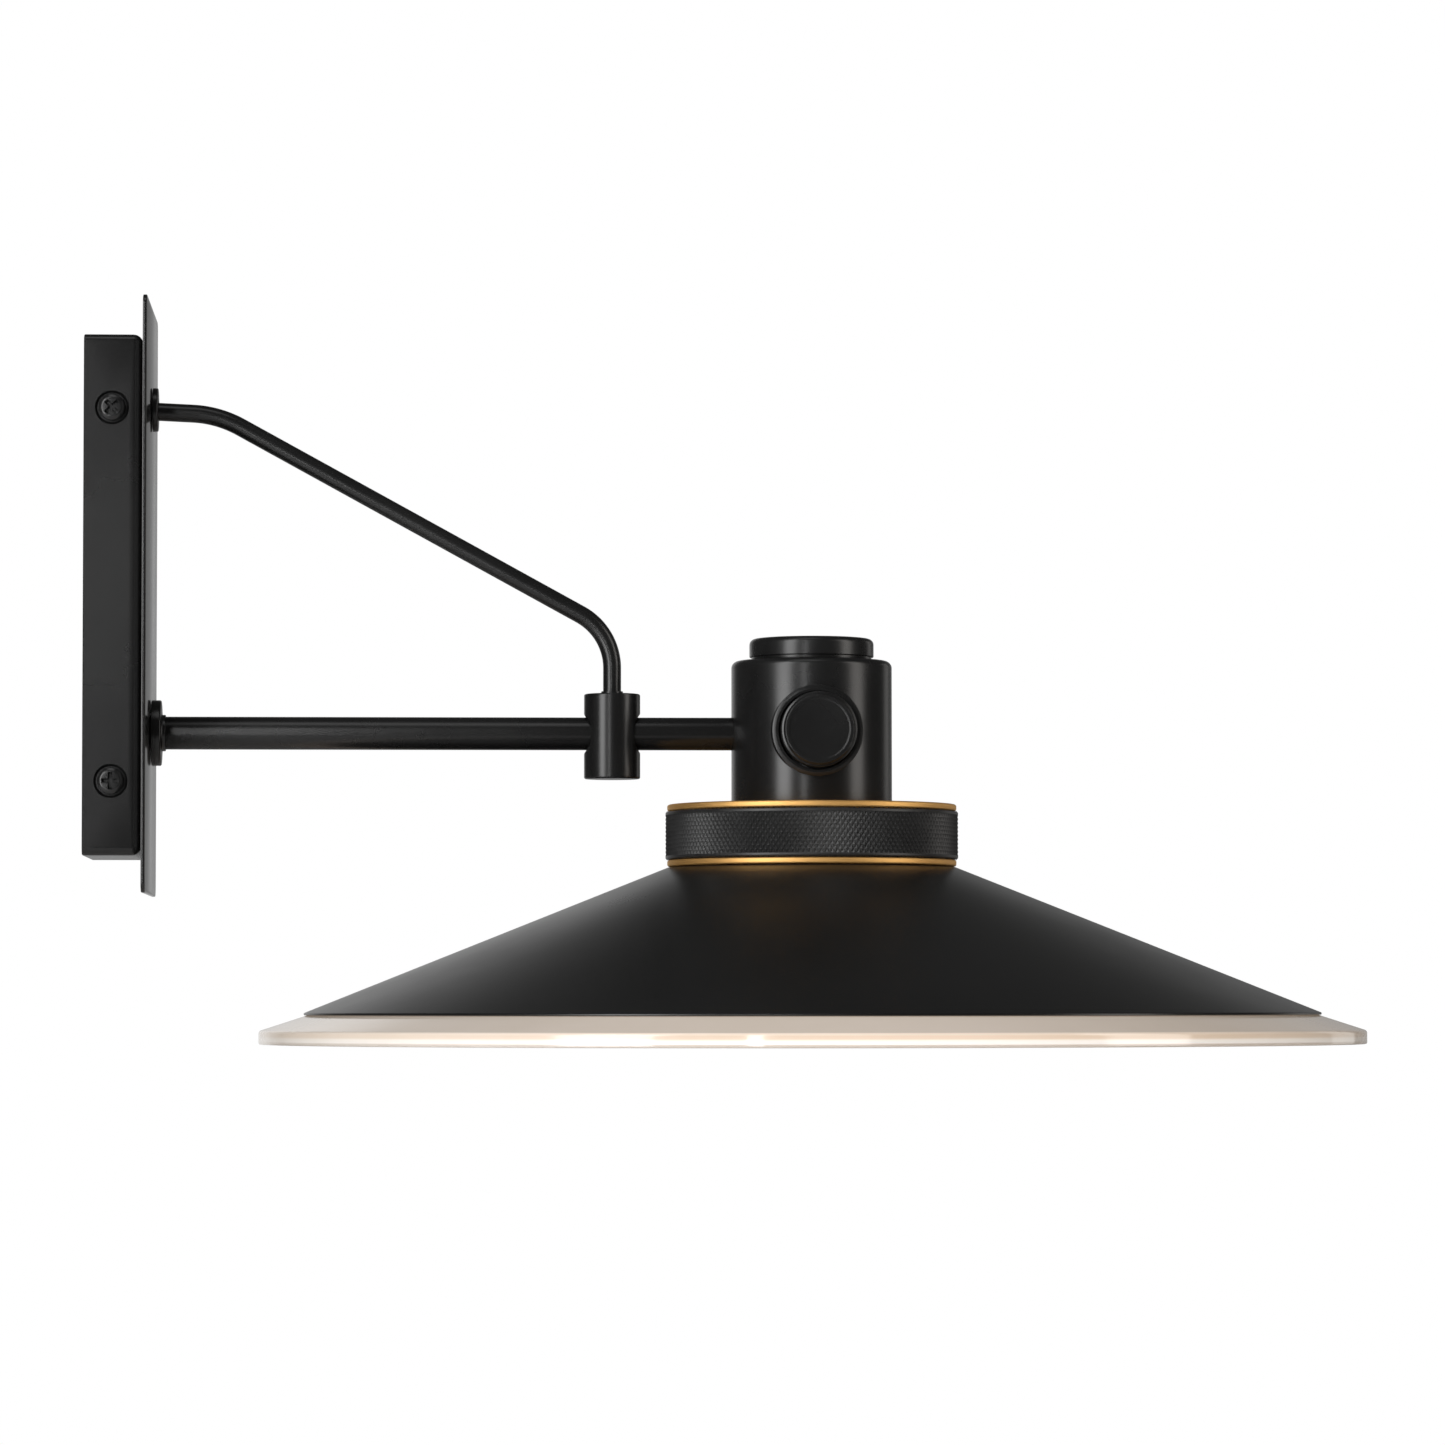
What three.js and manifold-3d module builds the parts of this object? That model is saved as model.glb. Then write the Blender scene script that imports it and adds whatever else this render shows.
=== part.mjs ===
// A wall sconce: a canopy with a face plate, a straight arm braced by a bent rod, and a lamp head
// with a metal shade over a wider glass one. The head turns on the end of the arm.
//
// Sizes are millimetres. The wall is the plane X = 0 and +X leaves it, +Z is up, and the origin is
// on the wall behind the canopy's centre. "Left" is -Y, as seen by someone who faces the wall.

import * as THREE from "three";
import { mergeVertices } from "three/addons/utils/BufferGeometryUtils.js";
import Module from "manifold-3d";

const wasm = await Module();
wasm.setup();

// ---------------------------------------------------------------- driving dimensions

const gap = 0.3; // between two pieces that touch
const runningGap = 0.3; // radial, around what turns or slides

// Canopy, face plate and wall bracket
const canopyHeight = 188;
const canopyWidth = 72;
const canopyDepth = 21.2;
const canopySheet = 1.2;
const canopyCornerRadius = 3;
const canopyFrontRadius = 3.5;
const plateOverhangZ = 13.5;
const plateOverhangY = 9.7;
const plateSheet = 1.5;
const plateCornerRadius = 4;
const bracketSheet = 2;
const bracketSideClearance = 0.4;
const bracketEndClearance = 6;
const earHeight = 18;
const earDepth = 16;
const wireHoleRadius = 11;
const wireHoleZ = 24;
const boxSlotSpacing = 83;
const boxSlotLength = 12;
const boxSlotWidth = 5;

// Screws in the canopy's sides
const sideScrewX = 10.2;
const sideScrewInset = 26.7;
const sideScrewRadius = 2;
const sideScrewLength = 7;
const sideHeadRadius = 4.75;
const screwHeadHeight = 2.1;
const groundScrewRadius = 2;
const groundHeadRadius = 4.2;
const screwRimShare = 0.45;
const screwCrownShare = 0.62;
const screwSlotShare = 0.5;
const screwSlotHalfWidth = 0.45;
const groundScrewZ = -24;

// Arm, brace and the block that joins them
const armZ = -48.4;
const armRadius = 6;
const armWall = 1.2;
const armRearX = 8.5;
const flangeWidth = 6;
const flangeThickness = 3.6;
const flangeChamfer = 0.8;
const flangeCove = 1.5;
const flangeNeck = 0.6;
const strutInset = 23.9;
const strutRadius = 3.3;
const strutRearX = 11;
const strutFirstBendReach = 24.2;
const strutFirstBendDrop = 1.7;
const strutFirstBendRadius = 40;
const strutSecondBendRise = 22.9;
const strutSecondBendRadius = 22.5;
const strutTailReach = 3;
const bossWidth = 4.7;
const bossThickness = 2;
const bossEdge = 0.4;
const blockX = 191.6;
const blockWall = 4.3;
const blockTopZ = -33.8;
const blockBottomZ = -65;
const blockEdge = 0.8;
const strutSeatDepth = 6;
const setScrewRadius = 2.5;
const setScrewDepth = 1;
const setScrewKey = 2.5;
const nutThickness = 4.5;
const nutWall = 3.2;
const washerThickness = 1.3;
const washerWidth = 4.7;
const bushingLip = 1.4;
const bushingWall = 1;
const bushingReach = 5;

// Lamp head
const headX = 265;
const housingWall = 2;
const housingFlange = 6;
const housingTopZ = -21.6;
const housingBottomZ = -74.1;
const housingShoulder = 2.6;
const housingLid = 2.4;
const housingRimHeight = 3.4;
const headOpeningClearance = 2.2;
const capRadius = 22.85;
const capTopZ = -13.4;
const capShoulder = 2.2;
const capWall = 2;
const capLid = 2.2;
const capGroove = 1.1;
const capStudRadius = 2.5;
const capRimInset = 0.8;
const clampBlockLength = 18;
const clampBlockWidth = 24;
const clampBlockBelowArm = 15.6;
const bushLength = 6;
const bushWall = 1.5;
const bushInset = 0.9;
const stopCollarWall = 3.2;
const stopCollarWidth = 2.5;
const stopCollarReach = 14.5;
const armEndReach = 0.6;
const blockScrewRadius = 2;
const blockScrewHead = 3.6;
const blockScrewSpacing = 17.5;
const blockScrewDepth = 8;
const capStudDepth = 9;
const capStudNutFlats = 8;
const capStudNutThickness = 3;

// Clamp knob on the side of the housing
const bezelRadius = 16.6;
const bezelBore = 14.1;
const bezelStand = 3.6;
const bezelBevel = 0.9;
const bezelSink = 1.5;
const knobClearance = 0.4;
const knobThickness = 12.3;
const knobStand = 13.5;
const knobFaceInset = 0.7;
const knobBevel = 0.6;
const knobStemRadius = 3;
const knobSocketDepth = 3.5;
const clampPadThickness = 1.5;
const clampPadRadius = 2.6;

// Bayonet collar that carries the shades
const carrierRadius = 43.7;
const carrierWall = 2;
const carrierFlangeWidth = 4.9;
const carrierFlangeThickness = 2;
const ringHeight = 17.3;
const ringWall = 4.55;
const ringEdge = 0.7;
const ringLipThickness = 2;
const brassInset = 0.65;
const brassThickness = 2.4;
const brassEdge = 0.7;
const neckLugWidth = 3.4;
const neckLugThickness = 2.2;
const lugCount = 3;
const lugArc = 50;
const lugGapArc = 62;
const headScrewRadius = 2;
const headScrewHead = 3.4;
const headScrewCount = 3;

// Shades
const metalRadius = 186;
const metalSheet = 1.2;
const metalSlope = 21.8;
const metalLip = 0.9;
const metalEdge = 0.5;
const glassRadius = 202.4;
const glassSheet = 5;
const glassSlope = 18;
const glassRimGap = 0.4;
const glassRimCorner = 1.2;
const shadeSeatWidth = 6;
const gasketInset = 1;
const gasketThickness = 1.5;
const shadeNutThickness = 5;
const carrierEndReach = 0.5;

// Lamp holder and lamp
const nippleRadius = 4.8;
const nippleBore = 3.4;
const nippleNutFlats = 14;
const nippleNutThickness = 2.6;
const holderCapTop = 3;
const holderCapSkirt = 4.7;
const holderCapWall = 2;
const holderHeight = 30;
const holderWall = 5.1;
const holderRoof = 4;
const holderShellWall = 0.6;
const holderShellLength = 24;
const contactRadius = 3;
const contactHeight = 1.2;
const contactHole = 1.8;
const lampBaseRadius = 13;
const lampBaseHeight = 25;
const lampLength = 80;
const lampGlobeRadius = 25;
const lampNeckRadius = 12.4;
const lampWall = 1.2;

// Facets round a full turn
const facetsWide = 56;
const facetsBody = 36;
const facetsSmall = 20;
const facetsTiny = 12;

// ---------------------------------------------------------------- finishes

const finish = (color, roughness, metalness) => () =>
  new THREE.MeshStandardMaterial({ color, roughness, metalness });
const satinBlack = finish(0x151414, 0.42, 0.3);
const knurledBlack = finish(0x1a1919, 0.45, 0.4);
const satinBrass = finish(0xb8894d, 0.36, 1);
const zincSteel = finish(0xa8abad, 0.4, 1);
const greenSteel = finish(0x2f7a45, 0.45, 0.8);
const blackRubber = finish(0x101010, 0.85, 0);
const bronze = finish(0x9a6b3f, 0.4, 1);
const porcelain = finish(0xece8df, 0.3, 0);
const nylon = finish(0xdedacf, 0.5, 0);
const opalGlass = finish(0xeee6dc, 0.25, 0);
const frostedGlass = finish(0xfff2dc, 0.35, 0);

// ---------------------------------------------------------------- shape helpers

const radians = THREE.MathUtils.degToRad;

// A solid of revolution about Z. The profile is a list of [radius, z] round the section.
function turned(profile, facets) {
  const points = profile.map(([radius, z]) => new THREE.Vector2(radius, z));
  if (THREE.ShapeUtils.area(points) < 0) points.reverse();
  const onAxis = (point) => point.x === 0;
  const start = points.findIndex((point, i) => onAxis(point) && onAxis(points.at(i - 1)));
  const loop =
    start < 0 ? [...points, points[0]] : [...points.slice(start), ...points.slice(0, start)];
  return new THREE.LatheGeometry(loop, facets).rotateX(Math.PI / 2);
}

// Points of an arc in a profile, from one angle to another, in degrees.
function arc(centre, radius, from, to, steps) {
  return Array.from({ length: steps + 1 }, (_, i) => {
    const angle = radians(from + ((to - from) * i) / steps);
    return [centre[0] + radius * Math.cos(angle), centre[1] + radius * Math.sin(angle)];
  });
}

// A washer, tube or disc between two heights. An inner radius of 0 makes it solid.
function ring(outer, inner, bottom, top, facets) {
  const profile = [
    [inner, bottom],
    [outer, bottom],
    [outer, top],
    [inner, top],
  ];
  return turned(profile, facets);
}

// The same with its outer edges cut back at both ends.
function bevelledRing(outer, inner, bottom, top, bevel, facets) {
  const profile = [
    [inner, bottom],
    [outer - bevel, bottom],
    [outer, bottom + bevel],
    [outer, top - bevel],
    [outer - bevel, top],
    [inner, top],
  ];
  return turned(profile, facets);
}

// A six-sided nut, or with no bore a six-sided head.
function hexagon(acrossFlats, bore, bottom, top) {
  const corner = acrossFlats / 2 / Math.cos(Math.PI / 6);
  const body = new THREE.CylinderGeometry(corner, corner, top - bottom, 6)
    .rotateX(Math.PI / 2)
    .translate(0, 0, (top + bottom) / 2);
  if (!bore) return body;
  return cut(body, ring(bore, 0, bottom - 1, top + 1, facetsSmall));
}

// A box between two corners.
function block(low, high) {
  const size = high.map((value, i) => value - low[i]);
  const middle = high.map((value, i) => (value + low[i]) / 2);
  return new THREE.BoxGeometry(...size).translate(...middle);
}

// Turning a shape made about Z, so that its +Z end points along +X, -Y or +Y.
const alongX = (geometry) => geometry.rotateY(Math.PI / 2);
const alongMinusY = (geometry) => geometry.rotateX(Math.PI / 2);
const alongPlusY = (geometry) => geometry.rotateX(-Math.PI / 2);

function solid(geometry) {
  const bare = geometry.clone();
  bare.deleteAttribute("normal");
  bare.deleteAttribute("uv");
  const merged = mergeVertices(bare, 1e-3);
  const vertProperties = new Float32Array(merged.attributes.position.array);
  const triVerts = new Uint32Array(merged.index.array);
  return new wasm.Manifold(new wasm.Mesh({ numProp: 3, vertProperties, triVerts }));
}

function geometryOf(manifold) {
  const mesh = manifold.getMesh();
  const geometry = new THREE.BufferGeometry();
  geometry.setAttribute("position", new THREE.BufferAttribute(mesh.vertProperties, 3));
  geometry.setIndex(new THREE.BufferAttribute(mesh.triVerts, 1));
  return geometry;
}

const cut = (body, ...tools) =>
  geometryOf(tools.reduce((left, tool) => left.subtract(solid(tool)), solid(body)));
const join = (...bodies) =>
  geometryOf(bodies.map(solid).reduce((sum, body) => sum.add(body)));

// A rectangle in the Y-Z plane with round corners, thickened along +X from x = 0.
function roundedPlate(width, height, corner, thickness, edge = 0) {
  const y = width / 2 - edge;
  const z = height / 2 - edge;
  const r = corner - edge;
  const outline = new THREE.Shape();
  outline.moveTo(-y + r, -z);
  outline.lineTo(y - r, -z);
  outline.absarc(y - r, -z + r, r, -Math.PI / 2, 0);
  outline.lineTo(y, z - r);
  outline.absarc(y - r, z - r, r, 0, Math.PI / 2);
  outline.lineTo(-y + r, z);
  outline.absarc(-y + r, z - r, r, Math.PI / 2, Math.PI);
  outline.lineTo(-y, -z + r);
  outline.absarc(-y + r, -z + r, r, Math.PI, 1.5 * Math.PI);
  const extruded = new THREE.ExtrudeGeometry(outline, {
    depth: thickness - edge,
    curveSegments: 3,
    bevelEnabled: edge > 0,
    bevelThickness: edge,
    bevelSize: edge,
    bevelSegments: 2,
  });
  // Shape x becomes Y, shape y becomes Z and the depth becomes X.
  return extruded.rotateX(Math.PI / 2).rotateZ(Math.PI / 2);
}

// ---------------------------------------------------------------- the model

const sconce = new THREE.Group();

function part(name, geometry, material, parent = sconce) {
  const mesh = new THREE.Mesh(geometry, material());
  mesh.name = name;
  parent.add(mesh);
}

// Fixed groups: pieces made about Z are placed by these.
function groupAt(x, y, z) {
  const group = new THREE.Group();
  group.position.set(x, y, z);
  sconce.add(group);
  return group;
}

const sideScrewZ = canopyHeight / 2 - sideScrewInset;
const strutZ = canopyHeight / 2 - strutInset;
const plateHeight = canopyHeight + 2 * plateOverhangZ;
const plateWidth = canopyWidth + 2 * plateOverhangY;
const canopyFrontX = canopyDepth;
const canopyInnerX = canopyDepth - canopySheet;
const plateBackX = canopyFrontX + gap;
const plateFrontX = plateBackX + plateSheet;
const sideY = canopyWidth / 2;
const boreRadius = armRadius + gap;
const strutBoreRadius = strutRadius + gap;

// ---- wall bracket, canopy and face plate

function makeWallBracket() {
  const y = sideY - canopySheet - bracketSideClearance;
  const z = canopyHeight / 2 - canopySheet - bracketEndClearance;
  const back = block([0, -y, -z], [bracketSheet, y, z]);
  const ears = [];
  for (const side of [-1, 1]) {
    for (const end of [-1, 1]) {
      const inner = side * (y - bracketSheet);
      const outer = side * y;
      const middle = end * sideScrewZ;
      ears.push(
        block(
          [0, Math.min(inner, outer), middle - earHeight / 2],
          [earDepth, Math.max(inner, outer), middle + earHeight / 2],
        ),
      );
    }
  }
  const holes = [
    alongX(ring(wireHoleRadius, 0, -1, bracketSheet + 1, facetsSmall)).translate(0, 0, wireHoleZ),
    alongX(ring(groundScrewRadius + gap, 0, -1, bracketSheet + 1, facetsTiny))
      .translate(0, 0, groundScrewZ),
  ];
  for (const end of [-1, 1]) {
    const middle = (end * boxSlotSpacing) / 2;
    holes.push(
      block(
        [-1, -boxSlotLength / 2, middle - boxSlotWidth / 2],
        [bracketSheet + 1, boxSlotLength / 2, middle + boxSlotWidth / 2],
      ),
      alongMinusY(ring(sideScrewRadius + gap, 0, -sideY, sideY, facetsTiny))
        .translate(sideScrewX, 0, end * sideScrewZ),
    );
  }
  return cut(join(back, ...ears), ...holes);
}

function makeCanopy() {
  const rearCut = 10;
  const innerWidth = canopyWidth - 2 * canopySheet;
  const innerHeight = canopyHeight - 2 * canopySheet;
  const outer = roundedPlate(
    canopyWidth,
    canopyHeight,
    canopyCornerRadius + canopyFrontRadius,
    canopyDepth + rearCut,
    canopyFrontRadius,
  ).translate(-rearCut, 0, 0);
  const inner = roundedPlate(
    innerWidth,
    innerHeight,
    canopyCornerRadius + canopyFrontRadius - canopySheet,
    canopyInnerX + rearCut,
    canopyFrontRadius - canopySheet,
  ).translate(-rearCut, 0, 0);
  const behindWall = block(
    [-2 * rearCut, -canopyWidth, -canopyHeight],
    [0, canopyWidth, canopyHeight],
  );
  const screwHoles = [-1, 1].map((end) =>
    alongMinusY(ring(sideScrewRadius + gap, 0, -sideY - 1, sideY + 1, facetsTiny))
      .translate(sideScrewX, 0, end * sideScrewZ),
  );
  return cut(outer, inner, behindWall, ...frontHoles(), ...screwHoles);
}

// The holes that the arm and the brace need in the canopy's front and in the face plate.
function frontHoles() {
  const from = canopyInnerX - 2;
  const to = plateFrontX + 2;
  return [
    alongX(ring(boreRadius, 0, from, to, facetsSmall)).translate(0, 0, armZ),
    alongX(ring(strutBoreRadius, 0, from, to, facetsTiny)).translate(0, 0, strutZ),
  ];
}

part("mounting_bracket", makeWallBracket(), zincSteel);
part("canopy_box", makeCanopy(), satinBlack);
part(
  "face_plate",
  cut(
    roundedPlate(plateWidth, plateHeight, plateCornerRadius, plateSheet).translate(plateBackX, 0, 0),
    ...frontHoles(),
  ),
  satinBlack,
);

// A pan head screw about Z, its head's underside at z = 0 and its shank below.
function panScrew(shank, length, head, height) {
  const profile = [
    [0, -length],
    [shank, -length],
    [shank, 0],
    [head, 0],
    [head, height * screwRimShare],
    [head * screwCrownShare, height],
    [0, height],
  ];
  return turned(profile, facetsTiny);
}

// The same screw with a cross recess in its head.
function crossScrew(shank, length, head, height) {
  const reach = head * screwSlotShare;
  const floor = height * screwRimShare;
  const slots = [[reach, screwSlotHalfWidth], [screwSlotHalfWidth, reach]].map(([x, y]) =>
    block([-x, -y, floor], [x, y, height + 1]),
  );
  return cut(panScrew(shank, length, head, height), ...slots);
}

for (const [side, sideName] of [[-1, "left"], [1, "right"]]) {
  const turnOut = side < 0 ? alongMinusY : alongPlusY;
  for (const [end, endName] of [[1, "upper"], [-1, "lower"]]) {
    const screw = turnOut(
      crossScrew(sideScrewRadius, sideScrewLength, sideHeadRadius, screwHeadHeight),
    );
    part(
      `canopy_screw_${sideName}_${endName}`,
      screw.translate(sideScrewX, side * (sideY + gap), end * sideScrewZ),
      satinBlack,
    );
  }
}

part(
  "ground_screw",
  alongX(crossScrew(groundScrewRadius, bracketSheet + gap, groundHeadRadius, screwHeadHeight))
    .translate(bracketSheet + gap, 0, groundScrewZ),
  greenSteel,
);

// ---- arm

const washerFrontX = canopyInnerX - gap;
const washerRearX = washerFrontX - washerThickness;
const nutFrontX = washerRearX - gap;
const nutRearX = nutFrontX - nutThickness;
const flangeRearX = plateFrontX + gap;
const flangeFrontX = flangeRearX + flangeThickness;
const clampHalf = clampBlockLength / 2;
const innerStopX = headX - stopCollarReach;
const endStopX = headX + clampHalf + gap + washerThickness + gap;
const armFrontX = endStopX + stopCollarWidth + armEndReach;
const flangeRadius = armRadius + flangeWidth;
const bossRadius = strutRadius + bossWidth;
const blockRadius = armRadius + blockWall;
const nutFlats = (radius) => 2 * (radius + nutWall);
const armAxis = groupAt(0, 0, armZ);
const strutAxis = groupAt(0, 0, strutZ);

part(
  "arm_tube",
  alongX(ring(armRadius, armRadius - armWall, armRearX, armFrontX, facetsSmall)),
  satinBlack,
  armAxis,
);
part(
  "arm_flange",
  alongX(
    turned(
      [
        [boreRadius, flangeRearX],
        [flangeRadius - flangeChamfer, flangeRearX],
        [flangeRadius, flangeRearX + flangeChamfer],
        [flangeRadius, flangeFrontX - flangeChamfer / 2],
        [flangeRadius - flangeChamfer / 2, flangeFrontX],
        ...arc(
          [boreRadius + flangeNeck + flangeCove, flangeFrontX + flangeCove],
          flangeCove, 270, 180, 2,
        ),
        [boreRadius, flangeFrontX + flangeCove],
      ],
      facetsSmall,
    ),
  ),
  satinBlack,
  armAxis,
);
part(
  "arm_washer",
  alongX(ring(boreRadius + washerWidth, boreRadius, washerRearX, washerFrontX, facetsSmall)),
  zincSteel,
  armAxis,
);
part(
  "arm_locknut",
  alongX(hexagon(nutFlats(boreRadius), boreRadius, nutRearX, nutFrontX)),
  zincSteel,
  armAxis,
);

const bushingRadius = armRadius - armWall - gap;
part(
  "wire_bushing",
  alongX(
    turned(
      [
        [bushingRadius - bushingWall, armRearX - gap - bushingLip],
        [armRadius, armRearX - gap - bushingLip],
        [armRadius, armRearX - gap],
        [bushingRadius, armRearX - gap],
        [bushingRadius, armRearX + bushingReach],
        [bushingRadius - bushingWall, armRearX + bushingReach],
      ],
      facetsTiny,
    ),
  ),
  blackRubber,
  armAxis,
);

// ---- brace

// A circular bend in the X-Z plane, as a curve.
class Bend extends THREE.Curve {
  constructor(centre, radius, from, to) {
    super();
    Object.assign(this, { centre, radius, from, to });
  }
  getPoint(t, target = new THREE.Vector3()) {
    const angle = this.from + (this.to - this.from) * t;
    return target.set(
      this.centre.x + this.radius * Math.cos(angle),
      0,
      this.centre.y + this.radius * Math.sin(angle),
    );
  }
}

// The straight runs between corners, each corner rounded to its own radius.
function bentPath(corners, radii) {
  const path = new THREE.CurvePath();
  const at = (point) => new THREE.Vector3(point.x, 0, point.y);
  let last = corners[0];
  for (let i = 1; i < corners.length - 1; i += 1) {
    const back = corners[i - 1].clone().sub(corners[i]).normalize();
    const ahead = corners[i + 1].clone().sub(corners[i]).normalize();
    const half = back.angleTo(ahead) / 2;
    const reach = radii[i - 1] / Math.tan(half);
    const start = corners[i].clone().addScaledVector(back, reach);
    const end = corners[i].clone().addScaledVector(ahead, reach);
    const centre = corners[i]
      .clone()
      .addScaledVector(back.clone().add(ahead).normalize(), radii[i - 1] / Math.sin(half));
    const from = Math.atan2(start.y - centre.y, start.x - centre.x);
    const to = Math.atan2(end.y - centre.y, end.x - centre.x);
    path.add(new THREE.LineCurve3(at(last), at(start)));
    path.add(new Bend(centre, radii[i - 1], from, to));
    last = end;
  }
  path.add(new THREE.LineCurve3(at(last), at(corners.at(-1))));
  return path;
}

function makeStrut() {
  const corners = [
    new THREE.Vector2(plateFrontX, strutZ),
    new THREE.Vector2(plateFrontX + strutFirstBendReach, strutZ - strutFirstBendDrop),
    new THREE.Vector2(blockX, blockTopZ + strutSecondBendRise),
    new THREE.Vector2(blockX, blockTopZ - strutSeatDepth),
  ];
  const section = new THREE.Shape();
  section.absarc(0, 0, strutRadius, 0, 2 * Math.PI);
  const rod = new THREE.ExtrudeGeometry(section, {
    steps: 44,
    curveSegments: 5,
    extrudePath: bentPath(corners, [strutFirstBendRadius, strutSecondBendRadius]),
  });
  const tail = alongX(
    ring(strutRadius, 0, strutRearX, plateFrontX + strutTailReach, facetsTiny),
  ).translate(0, 0, strutZ);
  return join(tail, rod);
}

part("strut_rod", makeStrut(), satinBlack);
part(
  "strut_boss",
  alongX(
    bevelledRing(
      bossRadius, strutBoreRadius + gap, flangeRearX, flangeRearX + bossThickness, bossEdge,
      facetsSmall,
    ),
  ),
  satinBlack,
  strutAxis,
);
part(
  "strut_washer",
  alongX(ring(bossRadius - gap, strutBoreRadius, washerRearX, washerFrontX, facetsTiny)),
  zincSteel,
  strutAxis,
);
part(
  "strut_locknut",
  alongX(hexagon(nutFlats(strutRadius) - 2, strutBoreRadius, nutRearX, nutFrontX)),
  zincSteel,
  strutAxis,
);

const blockAxis = groupAt(blockX, 0, 0);
const setScrewTopZ = armZ - armRadius - gap;
const throughBlock = alongX(
  ring(boreRadius, 0, -blockRadius - 1, blockRadius + 1, facetsSmall),
).translate(0, 0, armZ);
part(
  "collar_block",
  cut(
    bevelledRing(blockRadius, 0, blockBottomZ, blockTopZ, blockEdge, facetsSmall),
    throughBlock,
    ring(strutBoreRadius, 0, blockTopZ - strutSeatDepth - gap, blockTopZ + 1, facetsTiny),
    ring(setScrewRadius + gap, 0, blockBottomZ - 1, armZ, facetsTiny),
  ),
  satinBlack,
  blockAxis,
);
part(
  "collar_set_screw",
  cut(
    ring(setScrewRadius, 0, blockBottomZ + setScrewDepth, setScrewTopZ, facetsTiny),
    hexagon(setScrewKey, 0, blockBottomZ, blockBottomZ + setScrewDepth + setScrewKey),
  ),
  zincSteel,
  blockAxis,
);

// ---- what the head turns on

const stopCollarRadius = boreRadius + stopCollarWall;
const stopRing = () => alongX(ring(stopCollarRadius, boreRadius, 0, stopCollarWidth, facetsSmall));
part("inner_stop_collar", stopRing().translate(innerStopX, 0, 0), zincSteel, armAxis);
part("end_stop_collar", stopRing().translate(endStopX, 0, 0), zincSteel, armAxis);
part(
  "thrust_washer",
  alongX(
    ring(stopCollarRadius, boreRadius, headX + clampHalf + gap, endStopX - gap, facetsSmall),
  ),
  bronze,
  armAxis,
);

// ---- housing

const headAxis = groupAt(headX, 0, 0);
const shellInner = lampBaseRadius + gap;
const shellOuter = shellInner + holderShellWall;
const holderBore = shellOuter + gap;
const holderRadius = holderBore + holderWall;
const headOpeningRadius = holderRadius + headOpeningClearance;
const housingBore = headOpeningRadius + housingFlange;
const housingRadius = housingBore + housingWall;
const lidBottomZ = housingTopZ - housingLid;
const clampTopZ = lidBottomZ - gap;
const clampBottomZ = armZ - clampBlockBelowArm;
const bushRadius = armRadius + runningGap + bushWall;
const stemHoleRadius = knobStemRadius + gap;
const screwCircle = (headOpeningRadius + housingBore) / 2;

// Every [x, y] of the screws that hold the collar under the housing.
const headScrewPlaces = Array.from({ length: headScrewCount }, (_, i) => {
  const angle = radians(90 + (360 * i) / headScrewCount);
  return [screwCircle * Math.cos(angle), screwCircle * Math.sin(angle)];
});
const headScrewHoles = (bottom, top) =>
  headScrewPlaces.map(([x, y]) =>
    ring(headScrewRadius + gap, 0, bottom, top, facetsTiny).translate(x, y, 0),
  );
const blockScrewHoles = (bottom, top) =>
  [-1, 1].map((side) =>
    ring(blockScrewRadius + gap, 0, bottom, top, facetsTiny)
      .translate(0, (side * blockScrewSpacing) / 2, 0),
  );

function makeHousing() {
  const shell = turned(
    [
      [headOpeningRadius, housingBottomZ],
      [housingRadius, housingBottomZ],
      ...arc(
        [housingRadius - housingShoulder, housingTopZ - housingShoulder], housingShoulder, 0, 90, 3,
      ),
      [0, housingTopZ],
      [0, lidBottomZ],
      [housingBore, lidBottomZ],
      [housingBore, housingBottomZ + housingRimHeight],
      [headOpeningRadius, housingBottomZ + housingRimHeight],
    ],
    facetsBody,
  );
  const armHole = alongX(ring(bushRadius + gap, 0, -housingRadius - 1, 0, facetsSmall))
    .translate(0, 0, armZ);
  const knobHole = alongMinusY(ring(stemHoleRadius, 0, 0, housingRadius + 1, facetsTiny))
    .translate(0, 0, armZ);
  const studHole = ring(capStudRadius + gap, 0, lidBottomZ - 1, housingTopZ + 1, facetsTiny);
  return cut(
    shell,
    armHole,
    knobHole,
    studHole,
    ...blockScrewHoles(lidBottomZ - 1, housingTopZ + 1),
    ...headScrewHoles(housingBottomZ - 1, housingBottomZ + housingRimHeight + 1),
  );
}

part("housing", makeHousing(), satinBlack, headAxis);

// The bush lines the hole that the arm enters by, its lip against the inside of the wall.
const bushStartX = headX - housingRadius + bushInset;
part(
  "entry_bush",
  alongX(
    ring(bushRadius, armRadius + runningGap, bushStartX, bushStartX + bushLength, facetsSmall),
  ),
  bronze,
  armAxis,
);

function makeClampBlock() {
  const body = block(
    [-clampHalf, -clampBlockWidth / 2, clampBottomZ],
    [clampHalf, clampBlockWidth / 2, clampTopZ],
  );
  const armBore = alongX(
    ring(armRadius + runningGap, 0, -clampHalf - 1, clampHalf + 1, facetsSmall),
  ).translate(0, 0, armZ);
  const knobBore = alongMinusY(ring(stemHoleRadius, 0, 0, clampBlockWidth, facetsTiny))
    .translate(0, 0, armZ);
  const studBore = ring(capStudRadius + gap, 0, studBottomZ - gap, clampTopZ + 1, facetsTiny);
  const nippleBoreHole = ring(
    nippleRadius + gap, 0, clampBottomZ - 1, nippleTopZ + gap, facetsTiny,
  );
  return cut(
    body,
    armBore,
    knobBore,
    studBore,
    nippleBoreHole,
    ...blockScrewHoles(blockScrewTipZ - gap, clampTopZ + 1),
  );
}

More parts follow.
